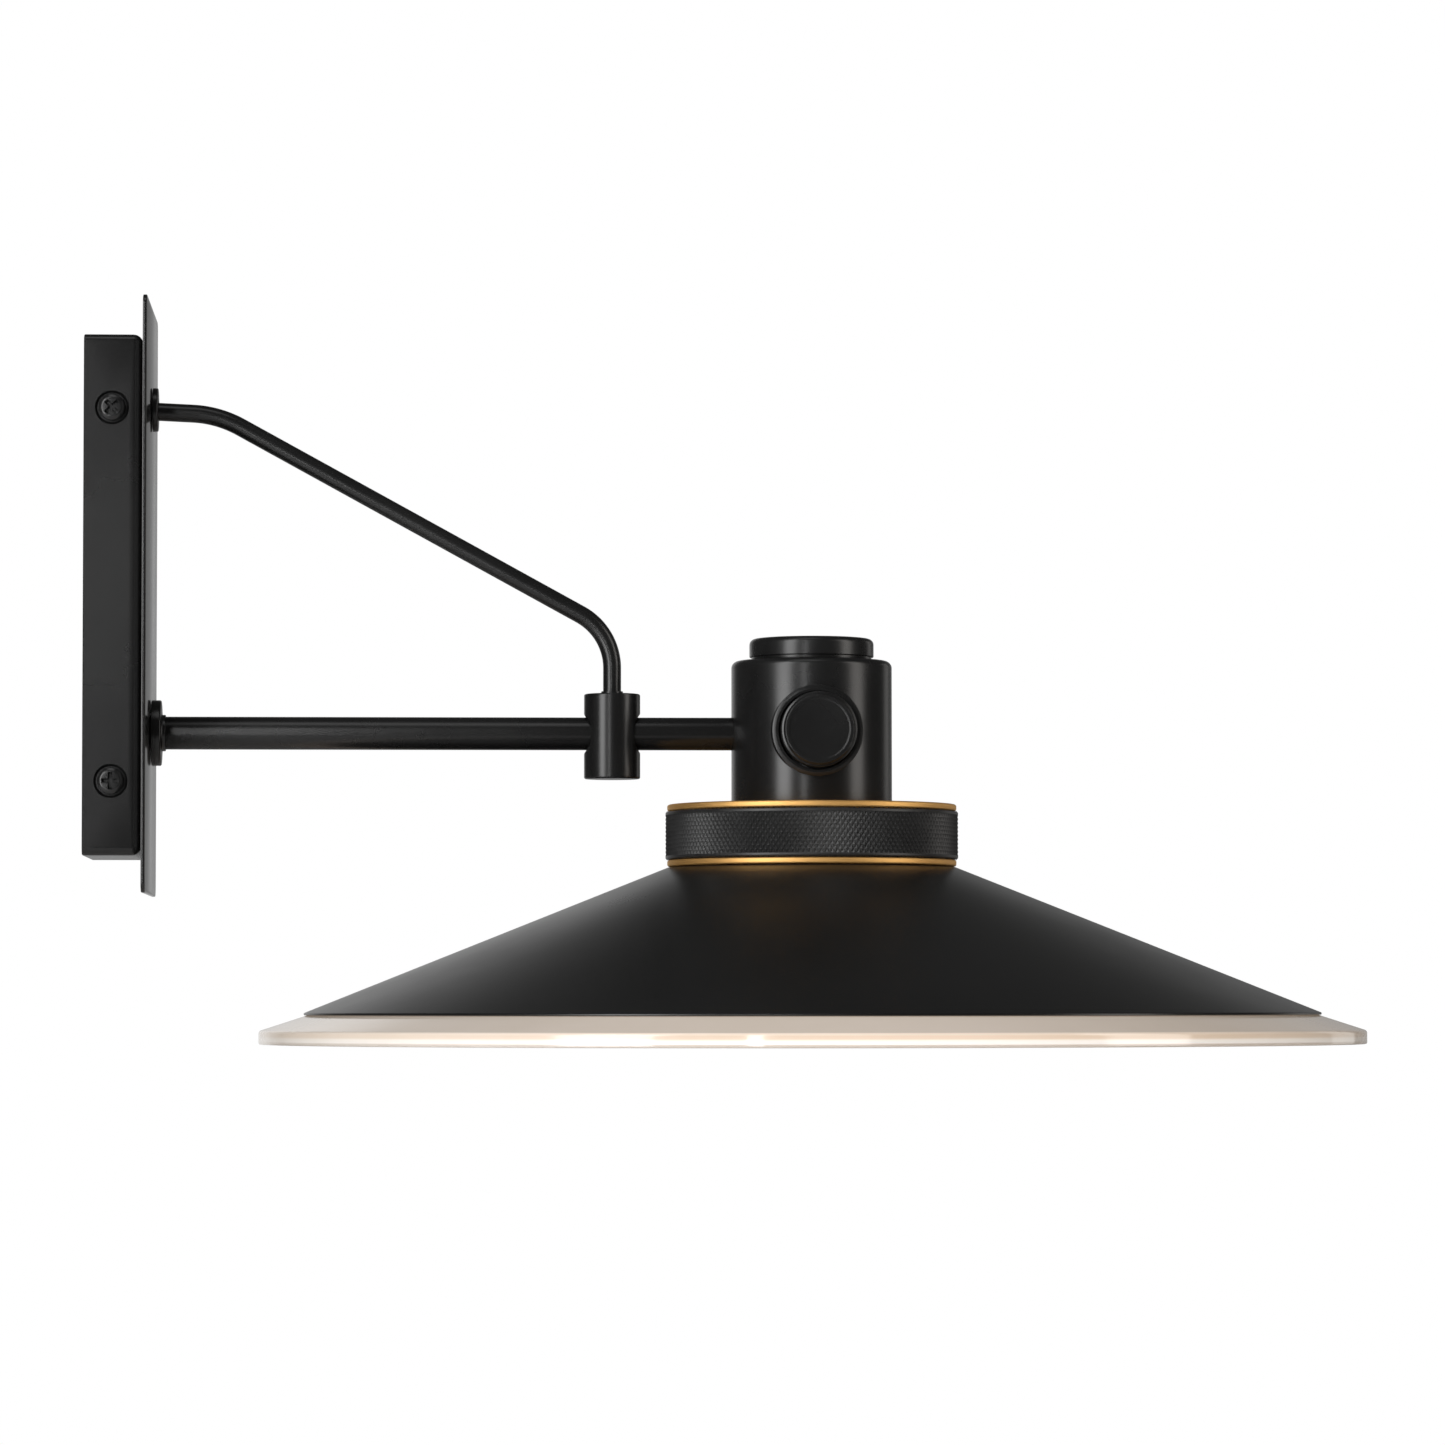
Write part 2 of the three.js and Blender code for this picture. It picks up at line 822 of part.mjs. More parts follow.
const studBottomZ = clampTopZ - capStudDepth;
const blockScrewTipZ = clampTopZ - blockScrewDepth;
const nippleTopZ = armZ - armRadius - 3;
part("clamp_block", makeClampBlock(), zincSteel, headAxis);

for (const [side, sideName] of [[-1, "left"], [1, "right"]]) {
  const length = housingTopZ + gap - blockScrewTipZ;
  part(
    `block_screw_${sideName}`,
    crossScrew(blockScrewRadius, length, blockScrewHead, screwHeadHeight)
      .translate(0, (side * blockScrewSpacing) / 2, housingTopZ + gap),
    zincSteel,
    headAxis,
  );
}

// ---- top cap on its stud

const capBottomZ = housingTopZ + gap;
const capInnerTopZ = capTopZ - capLid;
part(
  "top_cap",
  turned(
    [
      [0, capInnerTopZ],
      [capRadius - capWall, capInnerTopZ],
      [capRadius - capWall, capBottomZ],
      [capRadius - capRimInset, capBottomZ],
      [capRadius - capRimInset, capBottomZ + capGroove],
      [capRadius, capBottomZ + capGroove],
      ...arc([capRadius - capShoulder, capTopZ - capShoulder], capShoulder, 0, 90, 3),
      [0, capTopZ],
    ],
    facetsBody,
  ),
  satinBlack,
  headAxis,
);
part(
  "cap_stud",
  turned(
    [
      [0, studBottomZ],
      [capStudRadius, studBottomZ],
      [capStudRadius, capInnerTopZ - gap],
      [0, capInnerTopZ - gap],
    ],
    facetsTiny,
  ),
  zincSteel,
  headAxis,
);
part(
  "cap_stud_nut",
  hexagon(capStudNutFlats, capStudRadius + gap, capBottomZ, capBottomZ + capStudNutThickness),
  zincSteel,
  headAxis,
);

// ---- clamp knob, its axis along Y through the arm's centre line

const knobAxis = groupAt(headX, 0, armZ);
const bezelBackY = Math.sqrt(housingRadius ** 2 - bezelRadius ** 2) - bezelSink;
const bezelFaceY = housingRadius + bezelStand;
const knobFaceY = housingRadius + knobStand;
const knobBackY = knobFaceY - knobThickness;
const knobRadius = bezelBore - knobClearance;
const roundHousing = ring(housingRadius + gap, 0, -bezelRadius * 2, bezelRadius * 2, facetsBody);

part(
  "knob_bezel",
  cut(
    alongMinusY(
      turned(
        [
          [knobStemRadius + 2 * gap, bezelBackY],
          [bezelRadius, bezelBackY],
          [bezelRadius, bezelFaceY - bezelBevel],
          [bezelRadius - bezelBevel, bezelFaceY],
          [bezelBore, bezelFaceY],
          [bezelBore, knobBackY - gap],
          [knobStemRadius + 2 * gap, knobBackY - gap],
        ],
        facetsBody,
      ),
    ),
    roundHousing,
  ),
  satinBlack,
  knobAxis,
);
part(
  "clamp_knob",
  alongMinusY(
    turned(
      [
        [0, knobBackY + knobSocketDepth],
        [knobStemRadius + gap, knobBackY + knobSocketDepth],
        [knobStemRadius + gap, knobBackY],
        [knobRadius, knobBackY],
        [knobRadius, knobFaceY - 2 * knobBevel],
        [knobRadius - knobFaceInset, knobFaceY - knobBevel],
        [knobRadius - knobFaceInset - knobBevel, knobFaceY],
        [0, knobFaceY],
      ],
      facetsBody,
    ),
  ),
  satinBlack,
  knobAxis,
);
const padTipY = armRadius + runningGap;
const stemTipY = padTipY + clampPadThickness + gap;
part(
  "knob_stem",
  alongMinusY(
    ring(knobStemRadius, 0, stemTipY, knobBackY + knobSocketDepth - gap, facetsTiny),
  ),
  zincSteel,
  knobAxis,
);
part(
  "clamp_pad",
  alongMinusY(ring(clampPadRadius, 0, padTipY, stemTipY - gap, facetsTiny)),
  nylon,
  knobAxis,
);

// ---- bayonet: brass plate, neck with lugs, knurled ring, shade carrier

const carrierFlangeRadius = carrierRadius + carrierFlangeWidth;
const ringBore = carrierFlangeRadius + 2 * runningGap;
const ringRadius = ringBore + ringWall;
const brassRadius = ringRadius - brassInset;
const neckLipRadius = ringBore - runningGap;
const neckRadius = neckLipRadius - neckLugWidth;
const brassTopZ = housingBottomZ - gap;
const brassBottomZ = brassTopZ - brassThickness;
const ringTopZ = brassBottomZ - gap;
const ringBottomZ = ringTopZ - ringHeight;
const lugTopZ = ringTopZ - ringLipThickness - gap;
const neckBottomZ = lugTopZ - neckLugThickness;
const lowerBrassTopZ = ringBottomZ - gap;
const lowerBrassBottomZ = lowerBrassTopZ - brassThickness;
const ringLipRadius = neckRadius + runningGap;
const carrierTopZ = ringBottomZ + ringLipThickness + gap + carrierFlangeThickness;
const metalTopZ = lowerBrassBottomZ - gap;

part(
  "brass_ring_upper",
  cut(
    bevelledRing(
      brassRadius, headOpeningRadius, brassBottomZ, brassTopZ, brassEdge, facetsBody,
    ),
    ...headScrewHoles(brassBottomZ - 1, brassTopZ + 1),
  ),
  satinBrass,
  headAxis,
);

// A wedge of a turn that reaches past the radius, for cutting arcs out of rings.
function wedge(radius, fromDegrees, spanDegrees, bottom, top) {
  const outline = new THREE.Shape();
  outline.moveTo(0, 0);
  outline.absarc(0, 0, radius, radians(fromDegrees), radians(fromDegrees + spanDegrees));
  const slab = new THREE.ExtrudeGeometry(outline, {
    depth: top - bottom,
    curveSegments: 8,
    bevelEnabled: false,
  });
  return slab.translate(0, 0, bottom);
}

const lugPitch = 360 / lugCount;
const lugCentres = Array.from({ length: lugCount }, (_, i) => lugPitch * i);

function makeNeck() {
  const disc = ring(neckRadius, headOpeningRadius, neckBottomZ, ringTopZ, facetsBody);
  const rim = ring(neckLipRadius, neckRadius - 2, neckBottomZ, lugTopZ, facetsBody);
  const between = lugCentres.map((centre) =>
    wedge(
      neckLipRadius + 5, centre + lugArc / 2, lugPitch - lugArc, neckBottomZ - 1, lugTopZ + 0.1,
    ),
  );
  const lugs = cut(rim, ...between);
  return cut(join(disc, lugs), ...headScrewHoles(neckBottomZ - 1, ringTopZ + 1));
}

part("fitter_neck", makeNeck(), zincSteel, headAxis);

headScrewPlaces.forEach(([x, y], i) => {
  const screw = crossScrew(
    headScrewRadius,
    housingBottomZ + housingRimHeight - neckBottomZ,
    headScrewHead,
    2,
  );
  part(
    `head_screw_${i + 1}`,
    screw.rotateX(Math.PI).translate(x, y, neckBottomZ - gap),
    zincSteel,
    headAxis,
  );
});

function makeKnurledRing() {
  const body = turned(
    [
      [carrierRadius + runningGap, ringBottomZ],
      [ringRadius - ringEdge, ringBottomZ],
      [ringRadius, ringBottomZ + ringEdge],
      [ringRadius, ringTopZ - ringEdge],
      [ringRadius - ringEdge, ringTopZ],
      [ringLipRadius, ringTopZ],
      [ringLipRadius, ringTopZ - ringLipThickness],
      [ringBore, ringTopZ - ringLipThickness],
      [ringBore, ringBottomZ + ringLipThickness],
      [carrierRadius + runningGap, ringBottomZ + ringLipThickness],
    ],
    facetsBody,
  );
  // Gaps in the upper lip that let the lugs through once the ring has turned.
  const gaps = lugCentres.map((centre) =>
    cut(
      wedge(
        ringBore,
        centre + lugPitch / 2 - lugGapArc / 2,
        lugGapArc,
        ringTopZ - ringLipThickness - 0.1,
        ringTopZ + 1,
      ),
      ring(ringLipRadius - 2, 0, ringTopZ - ringLipThickness - 1, ringTopZ + 2, facetsBody),
    ),
  );
  return cut(body, ...gaps);
}

part("knurled_ring", makeKnurledRing(), knurledBlack, headAxis);
part(
  "brass_ring_lower",
  bevelledRing(
    brassRadius,
    carrierRadius + gap,
    lowerBrassBottomZ,
    lowerBrassTopZ,
    brassEdge,
    facetsBody,
  ),
  satinBrass,
  headAxis,
);

// ---- shades

const metalDrop = (radius) => (radius - brassRadius) * Math.tan(radians(metalSlope));
const metalBottomZ = metalTopZ - metalDrop(metalRadius) - metalLip;
const metalInside = metalSheet / Math.cos(radians(metalSlope));
const seatBore = carrierRadius + gap;
const shadeSeatRadius = seatBore + shadeSeatWidth;

// Folded sheet: a flat ring under the brass, a cone, and a small lip turned down at the edge.
function makeMetalShade() {
  const rimZ = metalTopZ - metalDrop(metalRadius);
  return turned(
    [
      [seatBore, metalTopZ],
      [brassRadius, metalTopZ],
      [metalRadius - metalEdge, rimZ + metalEdge * Math.tan(radians(metalSlope))],
      [metalRadius, rimZ - metalEdge],
      [metalRadius, rimZ - metalLip],
      [metalRadius - metalSheet, rimZ - metalLip],
      [
        metalRadius - 2 * metalSheet,
        rimZ - metalInside + 2 * metalSheet * Math.tan(radians(metalSlope)),
      ],
      [brassRadius - metalEdge * 0.5, metalTopZ - metalSheet],
      [seatBore, metalTopZ - metalSheet],
    ],
    facetsWide,
  );
}
part("metal_shade", makeMetalShade(), satinBlack, headAxis);

const glassRise = (radius) => (glassRadius - radius) * Math.tan(radians(glassSlope));
const glassRimTopZ = metalBottomZ - glassRimGap - glassRise(metalRadius);
const glassVertical = glassSheet / Math.cos(radians(glassSlope));
const glassSeatZ = glassRimTopZ + glassRise(shadeSeatRadius);
const glassSeatBottomZ = glassSeatZ - glassVertical;

function makeGlassShade() {
  const cornerZ = glassRimTopZ;
  const bottomZ = glassRimTopZ - glassVertical;
  return turned(
    [
      [seatBore, glassSeatZ],
      [shadeSeatRadius, glassSeatZ],
      [glassRadius - glassRimCorner, cornerZ + glassRise(glassRadius - glassRimCorner)],
      [glassRadius, cornerZ - glassRimCorner * 0.6],
      [glassRadius, bottomZ + glassRimCorner * 0.6],
      [glassRadius - glassRimCorner, bottomZ + glassRise(glassRadius - glassRimCorner)],
      [shadeSeatRadius, glassSeatBottomZ],
      [seatBore, glassSeatBottomZ],
    ],
    facetsWide,
  );
}
part("glass_shade", makeGlassShade(), opalGlass, headAxis);

const shadeGasket = (bottom, top) =>
  ring(shadeSeatRadius - gasketInset, seatBore, bottom, top, facetsBody);
part(
  "shade_spacer",
  shadeGasket(glassSeatZ + gap, metalTopZ - metalSheet - gap),
  blackRubber,
  headAxis,
);
const gasketTopZ = glassSeatBottomZ - gap;
const gasketBottomZ = gasketTopZ - gasketThickness;
part("glass_gasket", shadeGasket(gasketBottomZ, gasketTopZ), blackRubber, headAxis);

const shadeNutTopZ = gasketBottomZ - gap;
const shadeNutBottomZ = shadeNutTopZ - shadeNutThickness;
part(
  "shade_nut",
  bevelledRing(
    shadeSeatRadius, seatBore, shadeNutBottomZ, shadeNutTopZ, brassEdge, facetsBody,
  ),
  satinBlack,
  headAxis,
);
part(
  "shade_carrier",
  turned(
    [
      [carrierRadius - carrierWall, shadeNutBottomZ - carrierEndReach],
      [carrierRadius, shadeNutBottomZ - carrierEndReach],
      [carrierRadius, carrierTopZ - carrierFlangeThickness],
      [carrierFlangeRadius, carrierTopZ - carrierFlangeThickness],
      [carrierFlangeRadius, carrierTopZ],
      [carrierRadius - carrierWall, carrierTopZ],
    ],
    facetsBody,
  ),
  zincSteel,
  headAxis,
);

// ---- lamp holder and lamp

const holderCapTopZ = clampBottomZ - gap;
const holderCapBottomZ = holderCapTopZ - holderCapTop - holderCapSkirt;
const nippleNutTopZ = holderCapTopZ - holderCapTop - gap;
const nippleNutBottomZ = nippleNutTopZ - nippleNutThickness;
const holderTopZ = holderCapBottomZ - gap;
const holderBottomZ = holderTopZ - holderHeight;
const roofZ = holderTopZ - holderRoof;

part(
  "socket_nipple",
  ring(nippleRadius, nippleBore, nippleNutBottomZ - armEndReach, nippleTopZ, facetsTiny),
  zincSteel,
  headAxis,
);
part(
  "nipple_nut",
  hexagon(nippleNutFlats, nippleRadius + gap, nippleNutBottomZ, nippleNutTopZ),
  zincSteel,
  headAxis,
);
part(
  "socket_cap",
  turned(
    [
      [nippleRadius + gap, holderCapTopZ],
      [holderRadius - 2, holderCapTopZ],
      [holderRadius, holderCapTopZ - 2],
      [holderRadius, holderCapBottomZ],
      [holderRadius - holderCapWall, holderCapBottomZ],
      [holderRadius - holderCapWall, holderCapTopZ - holderCapTop],
      [nippleRadius + gap, holderCapTopZ - holderCapTop],
    ],
    facetsSmall,
  ),
  zincSteel,
  headAxis,
);
part(
  "socket_body",
  turned(
    [
      [contactHole, holderTopZ],
      [holderRadius, holderTopZ],
      [holderRadius, holderBottomZ + 1],
      [holderRadius - 1, holderBottomZ],
      [holderBore, holderBottomZ],
      [holderBore, roofZ],
      [contactHole, roofZ],
    ],
    facetsSmall,
  ),
  porcelain,
  headAxis,
);
part(
  "socket_shell",
  ring(shellOuter, shellInner, roofZ - gap - holderShellLength, roofZ - gap, facetsSmall),
  satinBrass,
  headAxis,
);
part(
  "socket_contact",
  ring(contactRadius, 0, roofZ - gap - contactHeight, roofZ - gap, facetsTiny),
  satinBrass,
  headAxis,
);

const lampTipZ = roofZ - 2 * gap - contactHeight;
const lampBaseBottomZ = lampTipZ - lampBaseHeight;
part(
  "bulb_base",
  turned(
    [
      [0, lampTipZ],
      [4, lampTipZ],
      [5, lampTipZ - 1.5],
      [lampBaseRadius - 2, lampTipZ - 4],
      [lampBaseRadius, lampTipZ - 6],
      [lampBaseRadius, lampBaseBottomZ],
      [0, lampBaseBottomZ],
    ],
    facetsSmall,
  ),
  satinBrass,
  headAxis,
);

// A thin glass envelope, open at the neck where the base closes it.
function makeGlobe() {
  const bottomZ = lampTipZ - lampLength;
  const centreZ = bottomZ + lampGlobeRadius;
  const neckAngle = 58;
  const wall = (radius, neck) => {
    const curve = arc([0, centreZ], radius, -90, neckAngle, 8);
    curve[0][0] = 0;
    return [...curve, [neck, lampBaseBottomZ - 3], [neck, lampBaseBottomZ - gap]];
  };
  const outside = wall(lampGlobeRadius, lampNeckRadius);
  const inside = wall(lampGlobeRadius - lampWall, lampNeckRadius - lampWall);
  return turned([...outside, ...inside.reverse()], facetsSmall);
}
part("bulb_globe", makeGlobe(), frostedGlass, headAxis);

export default sconce;
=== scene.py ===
import math

import bmesh
import bpy
from mathutils import Matrix, Vector


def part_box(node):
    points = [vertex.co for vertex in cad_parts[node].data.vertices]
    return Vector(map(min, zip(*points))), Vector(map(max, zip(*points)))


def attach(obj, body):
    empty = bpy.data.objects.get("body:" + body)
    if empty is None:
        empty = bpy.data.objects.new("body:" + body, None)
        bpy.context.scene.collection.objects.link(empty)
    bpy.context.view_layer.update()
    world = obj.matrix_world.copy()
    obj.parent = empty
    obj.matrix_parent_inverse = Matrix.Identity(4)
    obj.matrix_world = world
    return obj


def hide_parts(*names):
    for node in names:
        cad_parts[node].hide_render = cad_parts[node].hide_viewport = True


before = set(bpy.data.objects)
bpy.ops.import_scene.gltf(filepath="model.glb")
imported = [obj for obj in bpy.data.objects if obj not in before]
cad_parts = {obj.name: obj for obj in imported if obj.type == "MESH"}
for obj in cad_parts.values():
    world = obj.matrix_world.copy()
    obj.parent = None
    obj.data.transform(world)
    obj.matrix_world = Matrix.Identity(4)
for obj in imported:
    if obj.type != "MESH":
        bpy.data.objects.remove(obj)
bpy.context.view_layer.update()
print("frame loaded:", len(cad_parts), "nodes")

millimetre = 0.001
creaseAngle = math.radians(32)


def cadBox(node):
    low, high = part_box(node)
    return Vector(low) / millimetre, Vector(high) / millimetre


# A value that is another node's socket is linked, any other is set
def addNode(tree, kind, values=None, **settings):
    node = tree.nodes.new(kind)
    for key, value in settings.items():
        setattr(node, key, value)
    for key, value in (values or {}).items():
        if isinstance(value, bpy.types.NodeSocket):
            tree.links.new(value, node.inputs[key])
        else:
            node.inputs[key].default_value = value
    return node


def mathNode(tree, operation, *values):
    return addNode(tree, "ShaderNodeMath", dict(enumerate(values)), operation=operation).outputs[0]


def newGroup(name, inputs, outputs):
    group = bpy.data.node_groups.new(name, "ShaderNodeTree")
    for label, kind in inputs:
        group.interface.new_socket(label, in_out="INPUT", socket_type=kind)
    for label, kind in outputs:
        group.interface.new_socket(label, in_out="OUTPUT", socket_type=kind)
    return group, group.nodes.new("NodeGroupInput"), group.nodes.new("NodeGroupOutput")


# A skin group turns one mask into a colour and a gloss; its inputs after the first keep this order
def newSkin(name, fineLabel, broadLabel):
    return newGroup(
        name,
        [
            ("Coordinates", "NodeSocketVector"),
            (fineLabel, "NodeSocketFloat"),
            (broadLabel, "NodeSocketFloat"),
            ("Deep", "NodeSocketColor"),
            ("Pale", "NodeSocketColor"),
            ("Roughness Low", "NodeSocketFloat"),
            ("Roughness High", "NodeSocketFloat"),
        ],
        [("Color", "NodeSocketColor"), ("Roughness", "NodeSocketFloat"), ("Height", "NodeSocketFloat")],
    )


def endSkin(group, given, result, mask, height):
    link = group.links.new
    for kind, low, high, out in (
        ("RGBA", "Deep", "Pale", "Color"), ("FLOAT", "Roughness Low", "Roughness High", "Roughness"),
    ):
        mix = addNode(
            group, "ShaderNodeMix",
            {"Factor": mask, "A": given.outputs[low], "B": given.outputs[high]}, data_type=kind,
        )
        link(mix.outputs["Result"], result.inputs[out])
    link(height, result.inputs["Height"])
    return group


# Powder coat: a fine pebbled skin over slow clouds in tone and gloss
def paintSkinGroup():
    group, given, result = newSkin("paintSkin", "Pebbles Per Metre", "Clouds Per Metre")
    link = group.links.new
    pebbles = addNode(group, "ShaderNodeTexNoise", {"Detail": 2.0, "Roughness": 0.45})
    clouds = addNode(group, "ShaderNodeTexNoise", {"Detail": 4.0, "Roughness": 0.6})
    for noise, label in ((pebbles, "Pebbles Per Metre"), (clouds, "Clouds Per Metre")):
        link(given.outputs["Coordinates"], noise.inputs["Vector"])
        link(given.outputs[label], noise.inputs["Scale"])
    spread = addNode(
        group, "ShaderNodeMapRange",
        {"From Min": 0.3, "From Max": 0.7, "Value": clouds.outputs["Fac"]}, interpolation_type="SMOOTHSTEP",
    )
    speckle = mathNode(group, "MULTIPLY", pebbles.outputs["Fac"], 0.12)
    share = mathNode(group, "MULTIPLY", spread.outputs["Result"], 0.88)
    blend = mathNode(group, "ADD", share, speckle)
    blend.node.use_clamp = True
    return endSkin(group, given, result, blend, pebbles.outputs["Fac"])


# Lathe marks: fine lines that run round a turned piece, broken into long streaks
def latheMarksGroup():
    group, given, result = newSkin("latheMarks", "Lines Per Metre", "Streaks")
    parts = addNode(group, "ShaderNodeSeparateXYZ", {0: given.outputs["Coordinates"]})
    flat = addNode(group, "ShaderNodeCombineXYZ", {"X": parts.outputs["X"], "Y": parts.outputs["Y"]})
    reach = addNode(group, "ShaderNodeVectorMath", {0: flat.outputs[0]}, operation="LENGTH")
    heading = addNode(group, "ShaderNodeVectorMath", {0: flat.outputs[0]}, operation="NORMALIZE")
    around = addNode(
        group, "ShaderNodeVectorMath",
        {0: heading.outputs["Vector"], "Scale": given.outputs["Streaks"]}, operation="SCALE",
    )
    across = mathNode(group, "ADD", reach.outputs["Value"], parts.outputs["Z"])
    rise = addNode(
        group, "ShaderNodeCombineXYZ",
        {"Z": mathNode(group, "MULTIPLY", across, given.outputs["Lines Per Metre"])},
    )
    where = addNode(
        group, "ShaderNodeVectorMath", {0: around.outputs["Vector"], 1: rise.outputs[0]}, operation="ADD",
    )
    marks = addNode(
        group, "ShaderNodeTexNoise",
        {"Scale": 1.0, "Detail": 3.0, "Roughness": 0.6, "Vector": where.outputs["Vector"]},
    )
    spread = addNode(
        group, "ShaderNodeMapRange", {"From Min": 0.3, "From Max": 0.7, "Value": marks.outputs["Fac"]},
    )
    return endSkin(group, given, result, spread.outputs["Result"], marks.outputs["Fac"])


paintSkin = paintSkinGroup()
latheMarks = latheMarksGroup()


# Marks are the skin's fine and broad scales, roughness its low and high, bump its strength and depth
def newFinish(name, skin, marks, deep, pale, roughness, bump, centre=(0, 0, 0), **shaderValues):
    material = bpy.data.materials.new(name)
    material.use_nodes = True
    tree = material.node_tree
    link = tree.links.new
    shader = tree.nodes["Principled BSDF"]
    for label, value in shaderValues.items():
        shader.inputs[label.replace("_", " ")].default_value = value
    where = addNode(tree, "ShaderNodeTexCoord")
    moved = addNode(tree, "ShaderNodeMapping")
    moved.inputs["Location"].default_value = [-part * millimetre for part in centre]
    effect = addNode(tree, "ShaderNodeGroup", node_tree=skin)
    for socket, value in zip(list(effect.inputs)[1:], (*marks, deep, pale, *roughness)):
        socket.default_value = value
    link(where.outputs["Object"], moved.inputs["Vector"])
    link(moved.outputs["Vector"], effect.inputs["Coordinates"])
    link(effect.outputs["Color"], shader.inputs["Base Color"])
    link(effect.outputs["Roughness"], shader.inputs["Roughness"])
    relief = addNode(
        tree, "ShaderNodeBump",
        {"Strength": bump[0], "Distance": bump[1], "Height": effect.outputs["Height"]},
    )
    link(relief.outputs["Normal"], shader.inputs["Normal"])
    return material


def grey(level, tint=1.0):
    return (level * tint, level, level / tint, 1)


headLow, headHigh = cadBox("housing")
headAxis = (headLow + headHigh) / 2
headAxis.z = 0

shine = {"centre": headAxis, "Metallic": 1.0}
finishTable = [
    ("satin_black", paintSkin, (1500, 14), grey(0.0085), grey(0.012), (0.24, 0.3), (0.008, 0.0002), {}),
    ("plate_black", paintSkin, (1500, 14), grey(0.0085), grey(0.0125), (0.12, 0.16), (0.03, 0.0002), {}),
    ("shade_black", paintSkin, (1700, 9), grey(0.007), grey(0.0105), (0.27, 0.33), (0.12, 0.0002), {}),
    ("black_screw", latheMarks, (3000, 3), grey(0.007), grey(0.014), (0.2, 0.28), (0.04, 0.0001),
     {"Specular_IOR_Level": 0.6}),
    ("knurled_black", paintSkin, (2500, 40), grey(0.012), grey(0.022), (0.38, 0.46), (0.1, 0.0001),
     {"Specular_IOR_Level": 0.6}),
    ("satin_brass", latheMarks, (2600, 5), (0.86, 0.49, 0.165, 1), (0.97, 0.6, 0.215, 1), (0.5, 0.6),
     (0.12, 0.0001), shine),
    ("brass_contact", latheMarks, (2200, 3), (0.55, 0.36, 0.13, 1), (0.74, 0.53, 0.24, 1), (0.22, 0.34),
     (0.1, 0.0001), shine),
    ("bulb_base_metal", latheMarks, (1800, 3), (0.55, 0.53, 0.5, 1), (0.78, 0.76, 0.72, 1), (0.2, 0.34),
     (0.1, 0.0001), shine),
    ("zinc_steel", paintSkin, (500, 90), (0.13, 0.135, 0.14, 1), (0.27, 0.27, 0.26, 1), (0.5, 0.66),
     (0.12, 0.0002), {"Metallic": 1.0}),
    ("green_steel", paintSkin, (900, 120), (0.02, 0.16, 0.05, 1), (0.05, 0.26, 0.09, 1), (0.28, 0.42),
     (0.12, 0.0002), {"Metallic": 0.7}),
    ("black_rubber", paintSkin, (2400, 90), grey(0.012), grey(0.028), (0.62, 0.8), (0.25, 0.0003),
     {"Specular_IOR_Level": 0.4}),
    ("bronze", latheMarks, (1800, 4), (0.32, 0.16, 0.07, 1), (0.46, 0.26, 0.12, 1), (0.3, 0.42),
     (0.12, 0.0001), {"Metallic": 1.0}),
    ("nylon", paintSkin, (1600, 100), (0.66, 0.64, 0.58, 1), (0.78, 0.76, 0.7, 1), (0.42, 0.55),
     (0.1, 0.0002), {"Specular_IOR_Level": 0.45}),
    ("porcelain", paintSkin, (700, 60), (0.74, 0.72, 0.67, 1), (0.82, 0.8, 0.76, 1), (0.12, 0.2),
     (0.08, 0.0002), {"Coat_Weight": 0.6}),
]
finishes = {row[0]: newFinish(*row[:-1], **row[-1]) for row in finishTable}


# Opal glass: milky body, faint swirls, and a painted glow of lamp light that gathers in the rim, set as
# emission on the glass
def opalGlass(name, rimGlowSettings):
    material = newFinish(
        name, paintSkin, (260, 12), (0.6, 0.57, 0.53, 1), (0.66, 0.63, 0.6, 1), (0.09, 0.14),
        (0.02, 0.0004), Coat_Weight=0.5, Coat_Roughness=0.05,
    )
    tree = material.node_tree
    link = tree.links.new
    shader = tree.nodes["Principled BSDF"]
    where = addNode(tree, "ShaderNodeTexCoord")
    parts = addNode(tree, "ShaderNodeSeparateXYZ", {0: where.outputs["Object"]})
    height = addNode(
        tree, "ShaderNodeMapRange",
        {"From Min": rimGlowSettings["bottom"] * millimetre, "From Max": rimGlowSettings["top"] * millimetre},
    )
    link(parts.outputs["Z"], height.inputs["Value"])
    # Painted glow: emission colour in bands by height, brightest at the rim, stands in for lamp light inside
    # the glass
    paintedGlow = addNode(tree, "ShaderNodeValToRGB")
    ramp = paintedGlow.color_ramp
    stops = rimGlowSettings["paintedGlow"]
    while len(ramp.elements) < len(stops):
        ramp.elements.new(0.5)
    for element, (position, colour) in zip(ramp.elements, stops):
        element.position = position
        element.color = (*colour, 1)
    link(height.outputs["Result"], paintedGlow.inputs["Fac"])
    # The painted glow fades to the dark side colour where the surface turns away from the viewer
    facing = addNode(tree, "ShaderNodeLayerWeight", {"Blend": 0.5})
    paintedGlowByFacing = addNode(tree, "ShaderNodeMix", {"B": (*rimGlowSettings["side"], 1)}, data_type="RGBA")
    link(facing.outputs["Facing"], paintedGlowByFacing.inputs["Factor"])
    link(paintedGlow.outputs["Color"], paintedGlowByFacing.inputs["A"])
    link(paintedGlowByFacing.outputs["Result"], shader.inputs["Emission Color"])
    shader.inputs["Emission Strength"].default_value = rimGlowSettings["strength"]
    return material


glassLow, glassHigh = cadBox("glass_shade")
# Painted glow bands of lamp light in the glass, listed by height from its bottom to its top; side is the dim
# painted colour at grazing angles
finishes["opal_glass"] = opalGlass("opal_glass", {
    "bottom": glassLow.z,
    "top": glassHigh.z,
    "strength": 1.0,
    "side": (0.08, 0.055, 0.03),
    "paintedGlow": [
        (0.0, (0.2, 0.14, 0.1)),
        (0.016, (0.24, 0.17, 0.12)),
        (0.024, (0.7, 0.66, 0.62)),
        (0.043, (0.66, 0.6, 0.53)),
        (0.056, (0.42, 0.26, 0.12)),
        (0.074, (0.4, 0.24, 0.11)),
        (0.1, (0.68, 0.54, 0.43)),
        (1.0, (0.66, 0.53, 0.4)),
    ],
})


